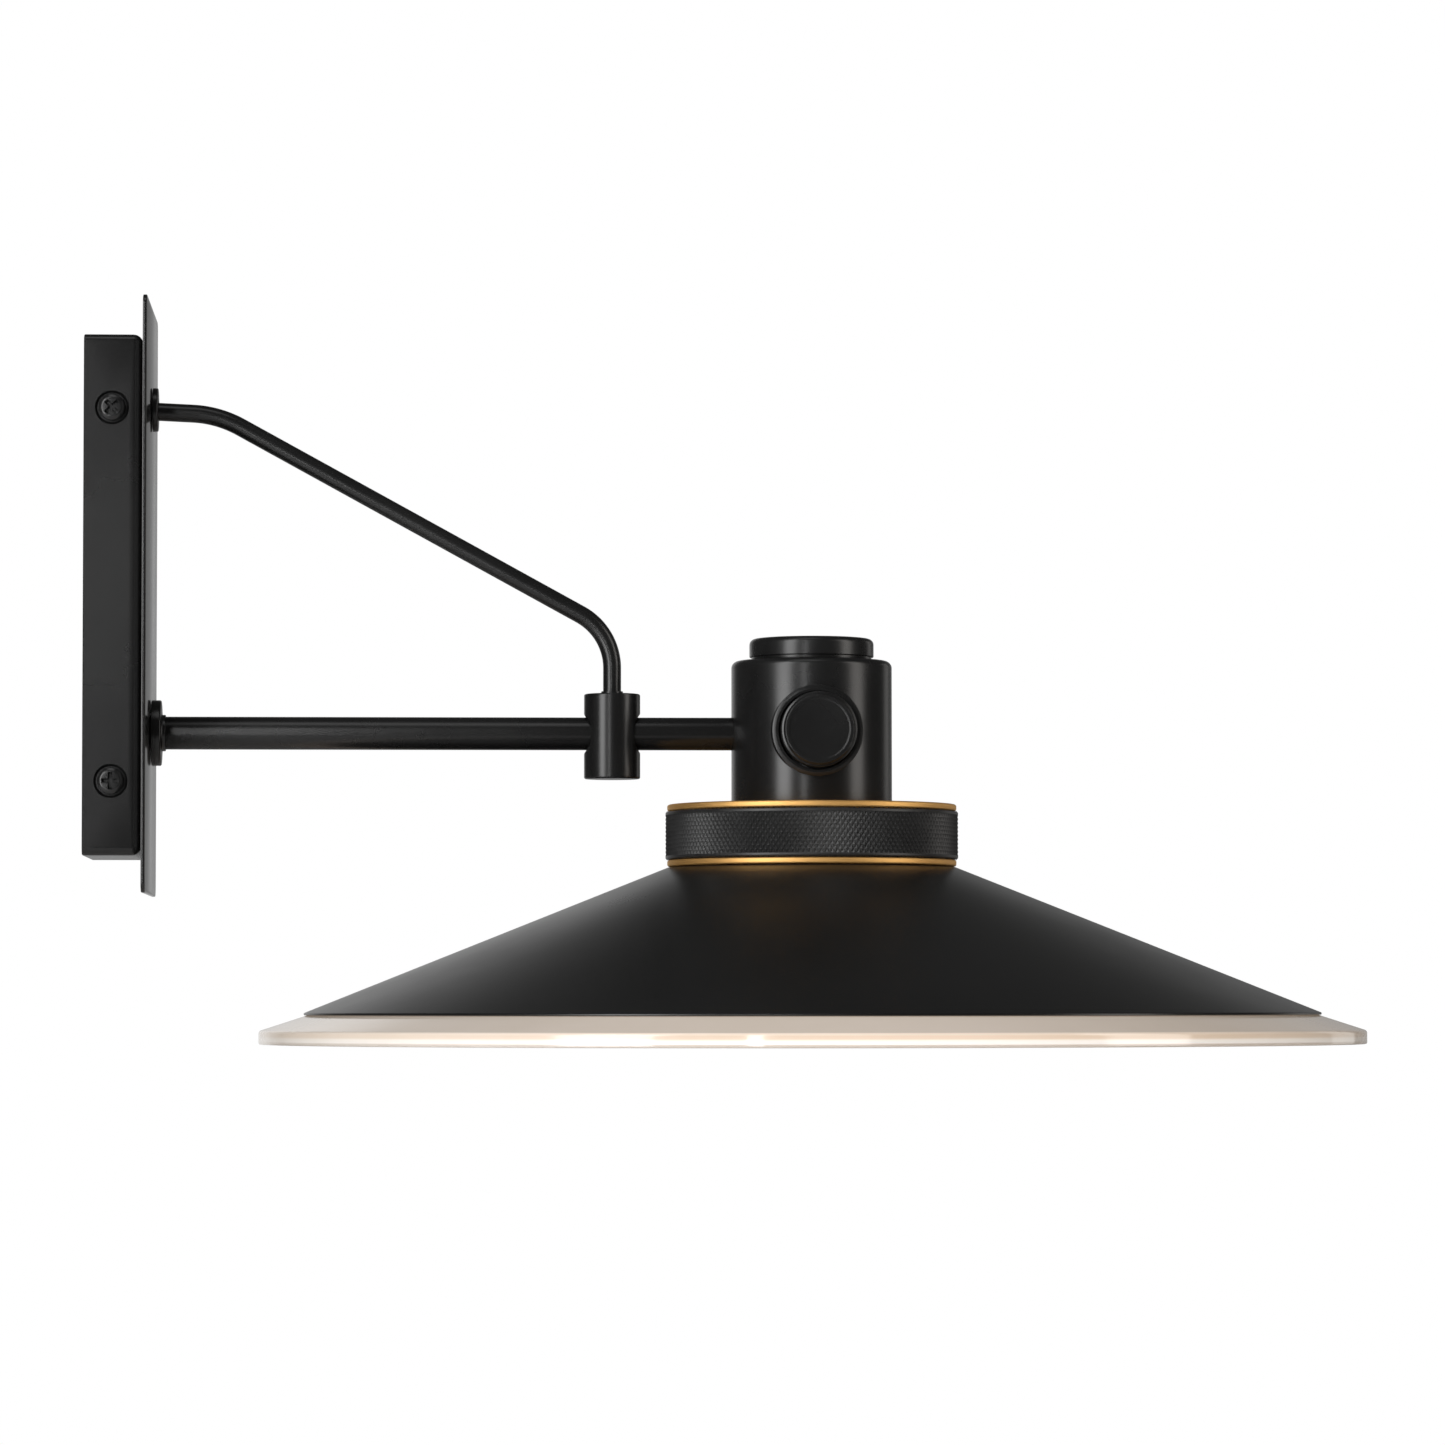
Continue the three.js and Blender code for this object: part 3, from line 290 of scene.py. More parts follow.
def lampGlass(name, strength):
    material = newFinish(
        name, paintSkin, (500, 40), (0.85, 0.8, 0.72, 1), (0.9, 0.86, 0.8, 1), (0.18, 0.26), (0.02, 0.0002),
    )
    tree = material.node_tree
    link = tree.links.new
    shader = tree.nodes["Principled BSDF"]
    where = addNode(tree, "ShaderNodeTexCoord")
    clouds = addNode(
        tree, "ShaderNodeTexNoise", {"Scale": 35.0, "Detail": 2.0, "Vector": where.outputs["Object"]},
    )
    warm = addNode(tree, "ShaderNodeMix", data_type="RGBA")
    warm.inputs["A"].default_value = (1.0, 0.66, 0.36, 1)
    warm.inputs["B"].default_value = (1.0, 0.74, 0.46, 1)
    link(clouds.outputs["Fac"], warm.inputs["Factor"])
    link(warm.outputs["Result"], shader.inputs["Emission Color"])
    shader.inputs["Emission Strength"].default_value = strength
    return material


finishes["bulb_glass"] = lampGlass("bulb_glass", 6.0)
print("finishes made:", len(finishes))


# Corners are (across, along, rounding) in order round an outline, in millimetres
def rounded(corners, bends=5):
    outline = []
    count = len(corners)
    for index, (across, along, rounding) in enumerate(corners):
        here = Vector((across, along))
        if rounding <= 0:
            outline.append(here)
            continue
        before = Vector(corners[index - 1][:2]) - here
        after = Vector(corners[(index + 1) % count][:2]) - here
        half = before.angle(after) / 2
        reach = min(rounding / math.tan(half), before.length * 0.49, after.length * 0.49)
        radius = reach * math.tan(half)
        middle = here + (before.normalized() + after.normalized()).normalized() * radius / math.sin(half)
        start = here + before.normalized() * reach - middle
        end = here + after.normalized() * reach - middle
        first = math.atan2(start.y, start.x)
        sweep = math.atan2(end.y, end.x) - first
        sweep = (sweep + math.pi) % (2 * math.pi) - math.pi
        for bend in range(bends + 1):
            angle = first + sweep * bend / bends
            outline.append(middle + Vector((math.cos(angle), math.sin(angle))) * radius)
    return outline


def turned(outline, steps=160):
    shape = bmesh.new()
    rings = []
    for point in outline:
        radius, height = point[0], point[1]
        if radius < 1e-4:
            rings.append([shape.verts.new((0, 0, height))])
            continue
        angles = [2 * math.pi * step / steps for step in range(steps)]
        rings.append([shape.verts.new((radius * math.cos(a), radius * math.sin(a), height)) for a in angles])
    for index, near in enumerate(rings):
        far = rings[(index + 1) % len(rings)]
        if len(near) == 1 and len(far) == 1:
            continue
        for step in range(steps):
            after = (step + 1) % steps
            if len(near) == 1:
                shape.faces.new((near[0], far[after], far[step]))
            elif len(far) == 1:
                shape.faces.new((near[step], near[after], far[0]))
            else:
                shape.faces.new((near[step], near[after], far[after], far[step]))
    bmesh.ops.recalc_face_normals(shape, faces=shape.faces)
    return shape


axisTurns = {
    "up": Matrix.Identity(4),
    "right": Matrix.Rotation(math.pi / 2, 4, "Y"),
    "near": Matrix.Rotation(math.pi / 2, 4, "X"),
}


def stand(shape, direction, centre=(0, 0, 0)):
    shape.transform(Matrix.Translation(centre) @ axisTurns[direction])
    return shape


def meshOf(name, shape, material):
    bmesh.ops.remove_doubles(shape, verts=shape.verts, dist=1e-5)
    shape.transform(Matrix.Scale(millimetre, 4))
    for face in shape.faces:
        face.smooth = True
    for edge in shape.edges:
        edge.smooth = edge.calc_face_angle(0) < creaseAngle
    mesh = bpy.data.meshes.new(name)
    shape.to_mesh(mesh)
    shape.free()
    mesh.materials.append(material)
    return mesh


def addPiece(name, shape, slotName, body, *cadNodes, material=None):
    finish = finishes[material or slotName]
    mesh = shape if isinstance(shape, bpy.types.Mesh) else meshOf(name, shape, finish)
    piece = bpy.data.objects.new(name, mesh)
    bpy.context.scene.collection.objects.link(piece)
    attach(piece, body)
    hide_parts(*cadNodes)
    return piece


# Takes cutters away from a shape and gives back the result
def carved(shape, cutters):
    whole = bpy.data.objects.new("carveWhole", bpy.data.meshes.new("carveWhole"))
    shape.to_mesh(whole.data)
    shape.free()
    bpy.context.scene.collection.objects.link(whole)
    tools = []
    for cutter in cutters:
        tool = bpy.data.objects.new("carveTool", bpy.data.meshes.new("carveTool"))
        cutter.to_mesh(tool.data)
        cutter.free()
        bpy.context.scene.collection.objects.link(tool)
        tools.append(tool)
        cut = whole.modifiers.new("carve", "BOOLEAN")
        cut.operation = "DIFFERENCE"
        cut.solver = "EXACT"
        cut.object = tool
    bpy.context.view_layer.update()
    settled = whole.evaluated_get(bpy.context.evaluated_depsgraph_get())
    result = bmesh.new()
    result.from_mesh(settled.to_mesh())
    settled.to_mesh_clear()
    for extra in [whole, *tools]:
        used = extra.data
        bpy.data.objects.remove(extra)
        bpy.data.meshes.remove(used)
    return result


def roundedLoop(halfY, halfZ, corner, bends=8):
    points = []
    middles = ((1, 1, 0), (-1, 1, 90), (-1, -1, 180), (1, -1, 270))
    for signY, signZ, start in middles:
        for bend in range(bends + 1):
            angle = math.radians(start + 90 * bend / bends)
            points.append((
                signY * (halfY - corner) + corner * math.cos(angle),
                signZ * (halfZ - corner) + corner * math.sin(angle),
            ))
    return points


# Layers are (depth along X, inset from the outside); ends close with a flat face where asked
def stacked(halfY, halfZ, corner, layers, closeFirst, closeLast):
    shape = bmesh.new()
    loops = []
    for depth, inset in layers:
        ring = roundedLoop(halfY - inset, halfZ - inset, max(corner - inset, 0.25))
        loops.append([shape.verts.new((depth, y, z)) for y, z in ring])
    for near, far in zip(loops, loops[1:]):
        for index in range(len(near)):
            after = (index + 1) % len(near)
            shape.faces.new((near[index], near[after], far[after], far[index]))
    if closeFirst:
        shape.faces.new(loops[0])
    if closeLast:
        shape.faces.new(loops[-1])
    bmesh.ops.recalc_face_normals(shape, faces=shape.faces)
    return shape


def quarter(radius, bends=6):
    return [
        (radius * math.sin(math.pi / 2 * k / bends), radius * (1 - math.cos(math.pi / 2 * k / bends)))
        for k in range(bends + 1)
    ]


def newTree(name, inputs):
    tree = bpy.data.node_groups.new(name, "GeometryNodeTree")
    tree.interface.new_socket("Geometry", in_out="INPUT", socket_type="NodeSocketGeometry")
    for label, kind in inputs:
        tree.interface.new_socket(label, in_out="INPUT", socket_type=kind)
    tree.interface.new_socket("Geometry", in_out="OUTPUT", socket_type="NodeSocketGeometry")
    return tree, tree.nodes.new("NodeGroupInput"), tree.nodes.new("NodeGroupOutput")


# Runs a tree on a base mesh and gives back the plain mesh that it makes
def grown(name, base, tree, values):
    carrier = bpy.data.objects.new(name + "Base", base)
    bpy.context.scene.collection.objects.link(carrier)
    modifier = carrier.modifiers.new(name, "NODES")
    modifier.node_group = tree
    sockets = {item.name: item.identifier for item in tree.interface.items_tree if item.in_out == "INPUT"}
    for label, value in values.items():
        modifier[sockets[label]] = value
    bpy.context.view_layer.update()
    settled = carrier.evaluated_get(bpy.context.evaluated_depsgraph_get())
    mesh = bpy.data.meshes.new_from_object(settled)
    mesh.name = name
    carrier.modifiers.remove(modifier)
    bpy.data.objects.remove(carrier)
    return mesh


def onPoints(tree, points, shape, rotation):
    link = tree.links.new
    template = addNode(tree, "GeometryNodeObjectInfo", {"As Instance": True})
    placed = addNode(tree, "GeometryNodeInstanceOnPoints")
    real = addNode(tree, "GeometryNodeRealizeInstances")
    link(shape, template.inputs["Object"])
    link(points, placed.inputs["Points"])
    link(template.outputs["Geometry"], placed.inputs["Instance"])
    link(rotation, placed.inputs["Rotation"])
    link(placed.outputs[0], real.inputs[0])
    return real.outputs[0]


def dress(tree, given, result, shape):
    link = tree.links.new
    dressed = addNode(
        tree, "GeometryNodeSetMaterial", {"Geometry": shape, "Material": given.outputs["Material"]},
    )
    link(dressed.outputs[0], result.inputs[0])
    return tree


# One copy of a shape on each point, facing out on either side of the canopy, turned at random
def screwRowTree():
    tree, given, result = newTree("screwRow", [
        ("Screw", "NodeSocketObject"),
        ("Seed", "NodeSocketInt"),
        ("Material", "NodeSocketMaterial"),
    ])
    points = addNode(tree, "GeometryNodeMeshToPoints", {"Mesh": given.outputs["Geometry"]})
    where = addNode(tree, "GeometryNodeInputPosition")
    parts = addNode(tree, "ShaderNodeSeparateXYZ", {0: where.outputs[0]})
    farSide = mathNode(tree, "GREATER_THAN", parts.outputs["Y"], 0.0)
    facing = mathNode(tree, "MULTIPLY", farSide, math.pi)
    spin = addNode(tree, "FunctionNodeRandomValue", {"Seed": given.outputs["Seed"]}, data_type="FLOAT")
    turn = mathNode(tree, "MULTIPLY", spin.outputs[1], math.pi / 2)
    angles = addNode(tree, "ShaderNodeCombineXYZ", {"Y": turn, "Z": facing})
    screws = onPoints(tree, points.outputs[0], given.outputs["Screw"], angles.outputs[0])
    return dress(tree, given, result, screws)


# Staggered rows of one small diamond round a ring
def knurlTree():
    tree, given, result = newTree("diamondKnurl", [
        ("Diamond", "NodeSocketObject"),
        ("Around", "NodeSocketInt"),
        ("Rows", "NodeSocketInt"),
        ("Radius", "NodeSocketFloat"),
        ("First Row", "NodeSocketFloat"),
        ("Row Pitch", "NodeSocketFloat"),
        ("Axis", "NodeSocketVector"),
        ("Material", "NodeSocketMaterial"),
    ])
    link = tree.links.new
    count = mathNode(tree, "MULTIPLY", given.outputs["Around"], given.outputs["Rows"])
    index = addNode(tree, "GeometryNodeInputIndex").outputs[0]
    row = mathNode(tree, "FLOOR", mathNode(tree, "DIVIDE", index, given.outputs["Around"]))
    column = mathNode(tree, "MODULO", index, given.outputs["Around"])
    stagger = mathNode(tree, "MULTIPLY", mathNode(tree, "MODULO", row, 2.0), 0.5)
    shifted = mathNode(tree, "ADD", column, stagger)
    turns = mathNode(tree, "DIVIDE", shifted, given.outputs["Around"])
    angle = mathNode(tree, "MULTIPLY", turns, 2 * math.pi)
    height = mathNode(
        tree, "ADD", given.outputs["First Row"], mathNode(tree, "MULTIPLY", row, given.outputs["Row Pitch"])
    )
    spot = addNode(tree, "ShaderNodeCombineXYZ")
    radius = given.outputs["Radius"]
    link(mathNode(tree, "MULTIPLY", mathNode(tree, "COSINE", angle), radius), spot.inputs["X"])
    link(mathNode(tree, "MULTIPLY", mathNode(tree, "SINE", angle), radius), spot.inputs["Y"])
    link(height, spot.inputs["Z"])
    moved = addNode(
        tree, "ShaderNodeVectorMath", {0: spot.outputs[0], 1: given.outputs["Axis"]}, operation="ADD",
    )
    points = addNode(tree, "GeometryNodePoints", {"Count": count, "Position": moved.outputs["Vector"]})
    angles = addNode(tree, "ShaderNodeCombineXYZ", {"Z": angle})
    joined = addNode(tree, "GeometryNodeJoinGeometry")
    link(onPoints(tree, points.outputs[0], given.outputs["Diamond"], angles.outputs[0]), joined.inputs[0])
    link(given.outputs["Geometry"], joined.inputs[0])
    return dress(tree, given, result, joined.outputs[0])


# A round rod along a line whose corners are bent to the radius stored on each point
def bentRodTree():
    tree, given, result = newTree("bentRod", [
        ("Radius", "NodeSocketFloat"),
        ("Bend Steps", "NodeSocketInt"),
        ("Sides", "NodeSocketInt"),
        ("Material", "NodeSocketMaterial"),
    ])
    link = tree.links.new
    line = addNode(tree, "GeometryNodeMeshToCurve", {"Mesh": given.outputs["Geometry"]})
    bend = addNode(tree, "GeometryNodeInputNamedAttribute", {"Name": "bend"}, data_type="FLOAT")
    smooth = addNode(tree, "GeometryNodeFilletCurve", mode="POLY")
    link(line.outputs[0], smooth.inputs["Curve"])
    link(bend.outputs[0], smooth.inputs["Radius"])
    link(given.outputs["Bend Steps"], smooth.inputs["Count"])
    section = addNode(
        tree, "GeometryNodeCurvePrimitiveCircle",
        {"Radius": given.outputs["Radius"], "Resolution": given.outputs["Sides"]},
    )
    swept = addNode(
        tree, "GeometryNodeCurveToMesh",
        {"Fill Caps": True, "Curve": smooth.outputs[0], "Profile Curve": section.outputs[0]},
    )
    real = addNode(tree, "GeometryNodeRealizeInstances", {0: swept.outputs[0]})
    return dress(tree, given, result, real.outputs[0])


canopySettings = {"corner": 3.0, "frontRounding": 3.5, "sheet": 1.2, "backRounding": 0.3,
                  "dimpleRadius": 6.2, "dimpleFloor": 5.3, "dimpleDepth": 0.85}


def makeCanopy(settings):
    low, high = cadBox("canopy_box")
    half = (high - low) / 2
    sheet = settings["sheet"]
    front = settings["frontRounding"]
    inner = front - sheet
    back = settings["backRounding"]
    layers = [(low.x + sheet * 0.5, sheet), (low.x + back, sheet - 0.2), (low.x, sheet - back),
              (low.x, back), (low.x + back, 0)]
    layers += [(high.x - front + along, inset) for along, inset in quarter(front)]
    outside = stacked(half.y, half.z, settings["corner"], layers, False, True)
    inside = [(low.x + sheet * 0.5, sheet)]
    inside += [(high.x - front + along, sheet + inset) for along, inset in quarter(inner)]
    lining = stacked(half.y, half.z, settings["corner"], inside, False, True)
    bmesh.ops.reverse_faces(lining, faces=lining.faces)
    spare = bpy.data.meshes.new("lining")
    lining.to_mesh(spare)
    lining.free()
    outside.from_mesh(spare)
    bpy.data.meshes.remove(spare)
    bmesh.ops.remove_doubles(outside, verts=outside.verts, dist=1e-4)
    bmesh.ops.recalc_face_normals(outside, faces=outside.faces)
    cutters = []
    for node in sideScrews:
        screwLow, screwHigh = cadBox(node)
        middle = (screwLow + screwHigh) / 2
        side = -1 if middle.y < 0 else 1
        depth = settings["dimpleDepth"]
        rim = settings["dimpleRadius"]
        profile = [(0, -depth), (settings["dimpleFloor"], -depth), (rim, 0.05), (rim, 1), (0, 1)]
        cutter = stand(turned(profile, 48), "near")
        cutter.transform(Matrix.Rotation(math.pi if side > 0 else 0, 4, "Z"))
        cutter.transform(Matrix.Translation((middle.x, side * half.y, middle.z)))
        cutters.append(cutter)
    addPiece("canopy", carved(outside, cutters), "satin_black", "bracket", "canopy_box")


sideScrews = ["canopy_screw_left_upper", "canopy_screw_left_lower",
              "canopy_screw_right_upper", "canopy_screw_right_lower"]
makeCanopy(canopySettings)

plateSettings = {"corner": 4.0, "edge": 0.35}


def makePlate(settings):
    low, high = cadBox("face_plate")
    half = (high - low) / 2
    edge = settings["edge"]
    bends = (math.pi / 2, math.pi / 4, 0)
    rear = [(low.x + edge - edge * math.sin(a), edge * (1 - math.cos(a))) for a in bends]
    front = [(high.x - edge + along, inset) for along, inset in quarter(edge, 3)]
    shape = stacked(half.y, half.z, settings["corner"], rear + front, True, True)
    addPiece("front_plate", shape, "satin_black", "bracket", "face_plate", material="plate_black")


makePlate(plateSettings)

screwSettings = {"headRadius": 4.75, "headHeight": 2.1, "domeStart": 1.3, "shank": 2.0, "shankLength": 5.5,
                 "slotWidth": 1.4, "slotReach": 3.1, "slotDepth": 1.8, "seed": 5}


def makeSideScrews(settings):
    head, top = settings["headRadius"], settings["headHeight"]
    profile = rounded([(0, -settings["shankLength"], 0), (settings["shank"], -settings["shankLength"], 0.4),
                       (settings["shank"], 0, 0), (head, 0, 0.2), (head, settings["domeStart"], 0.5),
                       (head * 0.74, top, 1.2), (0, top, 0)], 3)
    screw = turned(profile, 48)
    cutters = []
    for angle in (0, math.pi / 2):
        slot = bmesh.new()
        bmesh.ops.create_cube(slot, size=1)
        slot.transform(Matrix.Diagonal((2 * settings["slotReach"], settings["slotWidth"], 2, 1)))
        for vertex in slot.verts:
            vertex.co.x *= 0.75 if vertex.co.z < 0 else 1.05
            vertex.co.y *= 0.6 if vertex.co.z < 0 else 1.2
        slot.transform(Matrix.Translation((0, 0, top - settings["slotDepth"] + 1)))
        slot.transform(Matrix.Rotation(angle, 4, "Z"))
        cutters.append(slot)
    screw = stand(carved(screw, cutters), "near")
    template = bpy.data.objects.new("screwTemplate", meshOf("screwTemplate", screw, finishes["black_screw"]))
    bpy.context.scene.collection.objects.link(template)
    spots = bpy.data.meshes.new("screwSpots")
    places = []
    for node in sideScrews:
        low, high = cadBox(node)
        middle = (low + high) / 2
        outer = low.y if middle.y < 0 else high.y
        seat = outer + top if middle.y < 0 else outer - top
        places.append(Vector((middle.x, seat, middle.z)) * millimetre)
    spots.from_pydata(places, [], [])
    mesh = grown("side_screws", spots, screwRowTree(), {
        "Screw": template, "Seed": settings["seed"], "Material": finishes["black_screw"],
    })
    bpy.data.objects.remove(template)
    addPiece("side_screws", mesh, "black_screw", "bracket", *sideScrews)


makeSideScrews(screwSettings)
print("canopy, plate and screws made")


armLow, armHigh = cadBox("arm_tube")
armAxis = Vector((0, (armLow.y + armHigh.y) / 2, (armLow.z + armHigh.z) / 2))
armRadius = (armHigh.y - armLow.y) / 2

armSettings = {"wall": 1.2, "edge": 0.3}


def makeArm(settings):
    bore = armRadius - settings["wall"]
    profile = rounded([(bore, armLow.x, 0), (armRadius, armLow.x, settings["edge"]),
                       (armRadius, armHigh.x, settings["edge"]), (bore, armHigh.x, 0)], 3)
    addPiece("arm", stand(turned(profile, 96), "right", armAxis), "satin_black", "bracket", "arm_tube")


makeArm(armSettings)

flangeSettings = {"bore": 6.25, "disc": 3.6, "edge": 0.55, "cove": 1.5, "lip": 6.65}


def makeFlange(settings):
    low, high = cadBox("arm_flange")
    radius = (high.y - low.y) / 2
    step = low.x + settings["disc"]
    profile = rounded([(settings["bore"], low.x, 0), (radius, low.x, 0.3), (radius, step, settings["edge"]),
                       (settings["lip"], step, settings["cove"]), (settings["lip"], high.x, 0.15),
                       (settings["bore"], high.x, 0)])
    addPiece("arm_collar_flange", stand(turned(profile, 96), "right", armAxis), "satin_black", "bracket",
             "arm_flange")


makeFlange(flangeSettings)

strutSettings = {"firstBendReach": 24.2, "firstBendDrop": 1.7, "firstBendRadius": 40.0,
                 "secondBendRise": 22.9, "secondBendRadius": 22.5, "seat": 6.0}


def makeStrut(settings):
    low, high = cadBox("strut_rod")
    plateFront = cadBox("face_plate")[1].x
    collarTop = cadBox("collar_block")[1].z
    collarX = (cadBox("collar_block")[0].x + cadBox("collar_block")[1].x) / 2
    radius = (high.y - low.y) / 2
    startZ = high.z - radius
    corners = [
        (low.x, startZ, 0),
        (plateFront + settings["firstBendReach"], startZ - settings["firstBendDrop"],
         settings["firstBendRadius"]),
        (collarX, collarTop + settings["secondBendRise"], settings["secondBendRadius"]),
        (collarX, collarTop - settings["seat"], 0),
    ]
    line = bpy.data.meshes.new("strutLine")
    line.from_pydata([Vector((x, 0, z)) * millimetre for x, z, _ in corners], [(0, 1), (1, 2), (2, 3)], [])
    bends = line.attributes.new("bend", "FLOAT", "POINT")
    for index, corner in enumerate(corners):
        bends.data[index].value = corner[2] * millimetre
    mesh = grown("strut", line, bentRodTree(), {
        "Radius": radius * millimetre, "Bend Steps": 28, "Sides": 56, "Material": finishes["satin_black"],
    })
    shape = bmesh.new()
    shape.from_mesh(mesh)
    shape.transform(Matrix.Scale(1 / millimetre, 4))
    bmesh.ops.recalc_face_normals(shape, faces=shape.faces)
    bpy.data.meshes.remove(mesh)
    addPiece("strut", shape, "satin_black", "bracket", "strut_rod")


makeStrut(strutSettings)

bossSettings = {"bore": 3.45, "edge": 0.5}


def makeStrutBoss(settings):
    low, high = cadBox("strut_boss")
    radius = (high.y - low.y) / 2
    centre = Vector((0, 0, (low.z + high.z) / 2))
    profile = rounded([(settings["bore"], low.x, 0), (radius, low.x, 0.2), (radius, high.x, settings["edge"]),
                       (settings["bore"] + 0.5, high.x, 0.2), (settings["bore"], high.x - 0.5, 0)])
    addPiece("strut_flange", stand(turned(profile, 96), "right", centre), "satin_black", "bracket",
             "strut_boss")


makeStrutBoss(bossSettings)

collarSettings = {"edge": 0.7, "neckWall": 0.65, "neckRise": 1.0, "neckCove": 1.3, "scoopRadius": 7.35,
                  "scoopStart": 7.9, "boreClearance": 0.2, "rodClearance": 0.05, "seat": 6.0}


def makeCollar(settings):
    low, high = cadBox("collar_block")
    radius = (high.y - low.y) / 2
    centre = Vector(((low.x + high.x) / 2, 0, 0))
    strutLow, strutHigh = cadBox("strut_rod")
    rod = (strutHigh.y - strutLow.y) / 2 + settings["rodClearance"]
    neck = rod + settings["neckWall"]
    profile = rounded([(0, low.z, 0), (radius, low.z, settings["edge"]), (radius, high.z, settings["edge"]),
                       (neck, high.z, settings["neckCove"]), (neck, high.z + settings["neckRise"], 0.2),
                       (rod, high.z + settings["neckRise"], 0), (rod, high.z - settings["seat"], 0),
                       (0, high.z - settings["seat"], 0)])
    block = stand(turned(profile, 96), "up", centre)
    middle = Vector((centre.x, armAxis.y, armAxis.z))
    reach = radius + 3
    bore = turned([(0, -reach), (armRadius + settings["boreClearance"], -reach),
                   (armRadius + settings["boreClearance"], reach), (0, reach)], 64)
    cutters = [stand(bore, "right", middle)]
    for side in (-1, 1):
        ends = sorted((side * settings["scoopStart"], side * reach))
        scoop = turned(rounded([(0, ends[0], 0), (settings["scoopRadius"], ends[0], 0.6 if side > 0 else 0),
                                (settings["scoopRadius"], ends[1], 0.6 if side < 0 else 0),
                                (0, ends[1], 0)], 4), 64)
        cutters.append(stand(scoop, "right", middle))
    addPiece("strut_collar", carved(block, cutters), "satin_black", "bracket", "collar_block")


makeCollar(collarSettings)
print("arm, strut and collar made")


housingSettings = {"wall": 2.0, "shoulder": 2.6, "lid": 2.4, "armHole": 6.4}


def makeHousing(settings):
    low, high = cadBox("housing")
    radius = (high.x - low.x) / 2
    bore = radius - settings["wall"]
    lidBottom = high.z - settings["lid"]
    profile = rounded([(bore, low.z, 0), (radius, low.z, 0.3), (radius, high.z, settings["shoulder"]),
                       (3.2, high.z, 0), (3.2, lidBottom, 0), (bore, lidBottom, 0.6)], 8)
    body = stand(turned(profile, 192), "up", headAxis)
    reach = radius + 3
    hole = turned([(0, -reach), (settings["armHole"], -reach), (settings["armHole"], 0), (0, 0)], 64)
    hole = stand(hole, "right", (headAxis.x, armAxis.y, armAxis.z))
    addPiece("head_body", carved(body, [hole]), "satin_black", "head", "housing")


makeHousing(housingSettings)

entrySettings = {"bore": 6.25, "rounding": 0.4, "recess": 0.6}


def makeEntryBush(settings):
    low, high = cadBox("entry_bush")
    radius = (high.y - low.y) / 2
    start = low.x + settings["recess"]
    profile = rounded([(settings["bore"], start, 0.3), (radius, start, settings["rounding"]),
                       (radius, high.x, 0.2), (settings["bore"], high.x, 0.2)], 3)
    addPiece("arm_entry_bush", stand(turned(profile, 80), "right", armAxis), "bronze", "head", "entry_bush")


makeEntryBush(entrySettings)


capSettings = {"wall": 2.0, "lid": 2.2, "rimInset": 0.8, "groove": 1.1, "shoulder": 2.2}


def makeTopCap(settings):
    low, high = cadBox("top_cap")
    radius = (high.x - low.x) / 2
    inner = radius - settings["wall"]
    profile = rounded([(0, high.z - settings["lid"], 0), (inner, high.z - settings["lid"], 0.8),
                       (inner, low.z, 0), (radius - settings["rimInset"], low.z, 0.15),
                       (radius - settings["rimInset"], low.z + settings["groove"], 0.1),
                       (radius, low.z + settings["groove"], 0.35), (radius, high.z, settings["shoulder"]),
                       (0, high.z, 0)], 8)
    addPiece("head_cap", stand(turned(profile, 192), "up", headAxis), "satin_black", "head", "top_cap")


makeTopCap(capSettings)

bezelSettings = {"bore": 14.1, "bevelWidth": 1.3, "bevelDepth": 0.4, "innerBevel": 0.3}


def makeBezel(settings):
    low, high = cadBox("knob_bezel")
    radius = (high.x - low.x) / 2
    face, back = -low.y, -high.y
    lip = settings["innerBevel"]
    profile = rounded([(settings["bore"], back, 0), (radius, back, 0),
                       (radius, face - settings["bevelDepth"], 0.2),
                       (radius - settings["bevelWidth"], face, 0.15), (settings["bore"] + lip, face, 0.12),
                       (settings["bore"], face - lip, 0.1)], 4)
    centre = (headAxis.x, 0, armAxis.z)
    addPiece("knob_rim", stand(turned(profile, 144), "near", centre), "satin_black", "head", "knob_bezel")


makeBezel(bezelSettings)

knobSettings = {"faceInset": 0.7, "bevel": 0.7, "rounding": 0.35, "dish": 0.12, "dishRadius": 11.2}


def makeKnob(settings):
    low, high = cadBox("clamp_knob")
    radius = (high.x - low.x) / 2
    face, back = -low.y, -high.y
    step = radius - settings["faceInset"]
    bevel = settings["bevel"]
    profile = rounded([(0, back, 0), (radius, back, 0.3), (radius, face - 2 * bevel, 0.2),
                       (step, face - 2 * bevel + 0.25, 0.1), (step, face - bevel, settings["rounding"]),
                       (step - bevel, face, settings["rounding"]), (settings["dishRadius"], face, 0.6),
                       (settings["dishRadius"] - 0.6, face - settings["dish"], 0.6),
                       (0, face - settings["dish"], 0)], 4)
    centre = (headAxis.x, 0, armAxis.z)
    addPiece("knob_disc", stand(turned(profile, 144), "near", centre), "satin_black", "knob", "clamp_knob")


makeKnob(knobSettings)
print("housing, cap and knob made")


brassSettings = {"edge": 0.75, "upperBore": 25.5, "lowerBore": 44.0}


def makeBrassRing(name, node, bore, settings):
    low, high = cadBox(node)
    radius = (high.x - low.x) / 2
    edge = settings["edge"]
    profile = rounded([(bore, low.z, 0.2), (radius, low.z, edge), (radius, high.z, edge),
                       (bore, high.z, 0.2)], 6)
    addPiece(name, stand(turned(profile, 240), "up", headAxis), "satin_brass", "head", node)


makeBrassRing("upper_brass_ring", "brass_ring_upper", brassSettings["upperBore"], brassSettings)
makeBrassRing("lower_brass_ring", "brass_ring_lower", brassSettings["lowerBore"], brassSettings)

knurlSettings = {"around": 172, "pitch": 1.51, "band": 1.15, "depth": 0.5, "tipShare": 0.16, "edge": 0.7,
                 "bore": 49.2, "proud": 0.02}


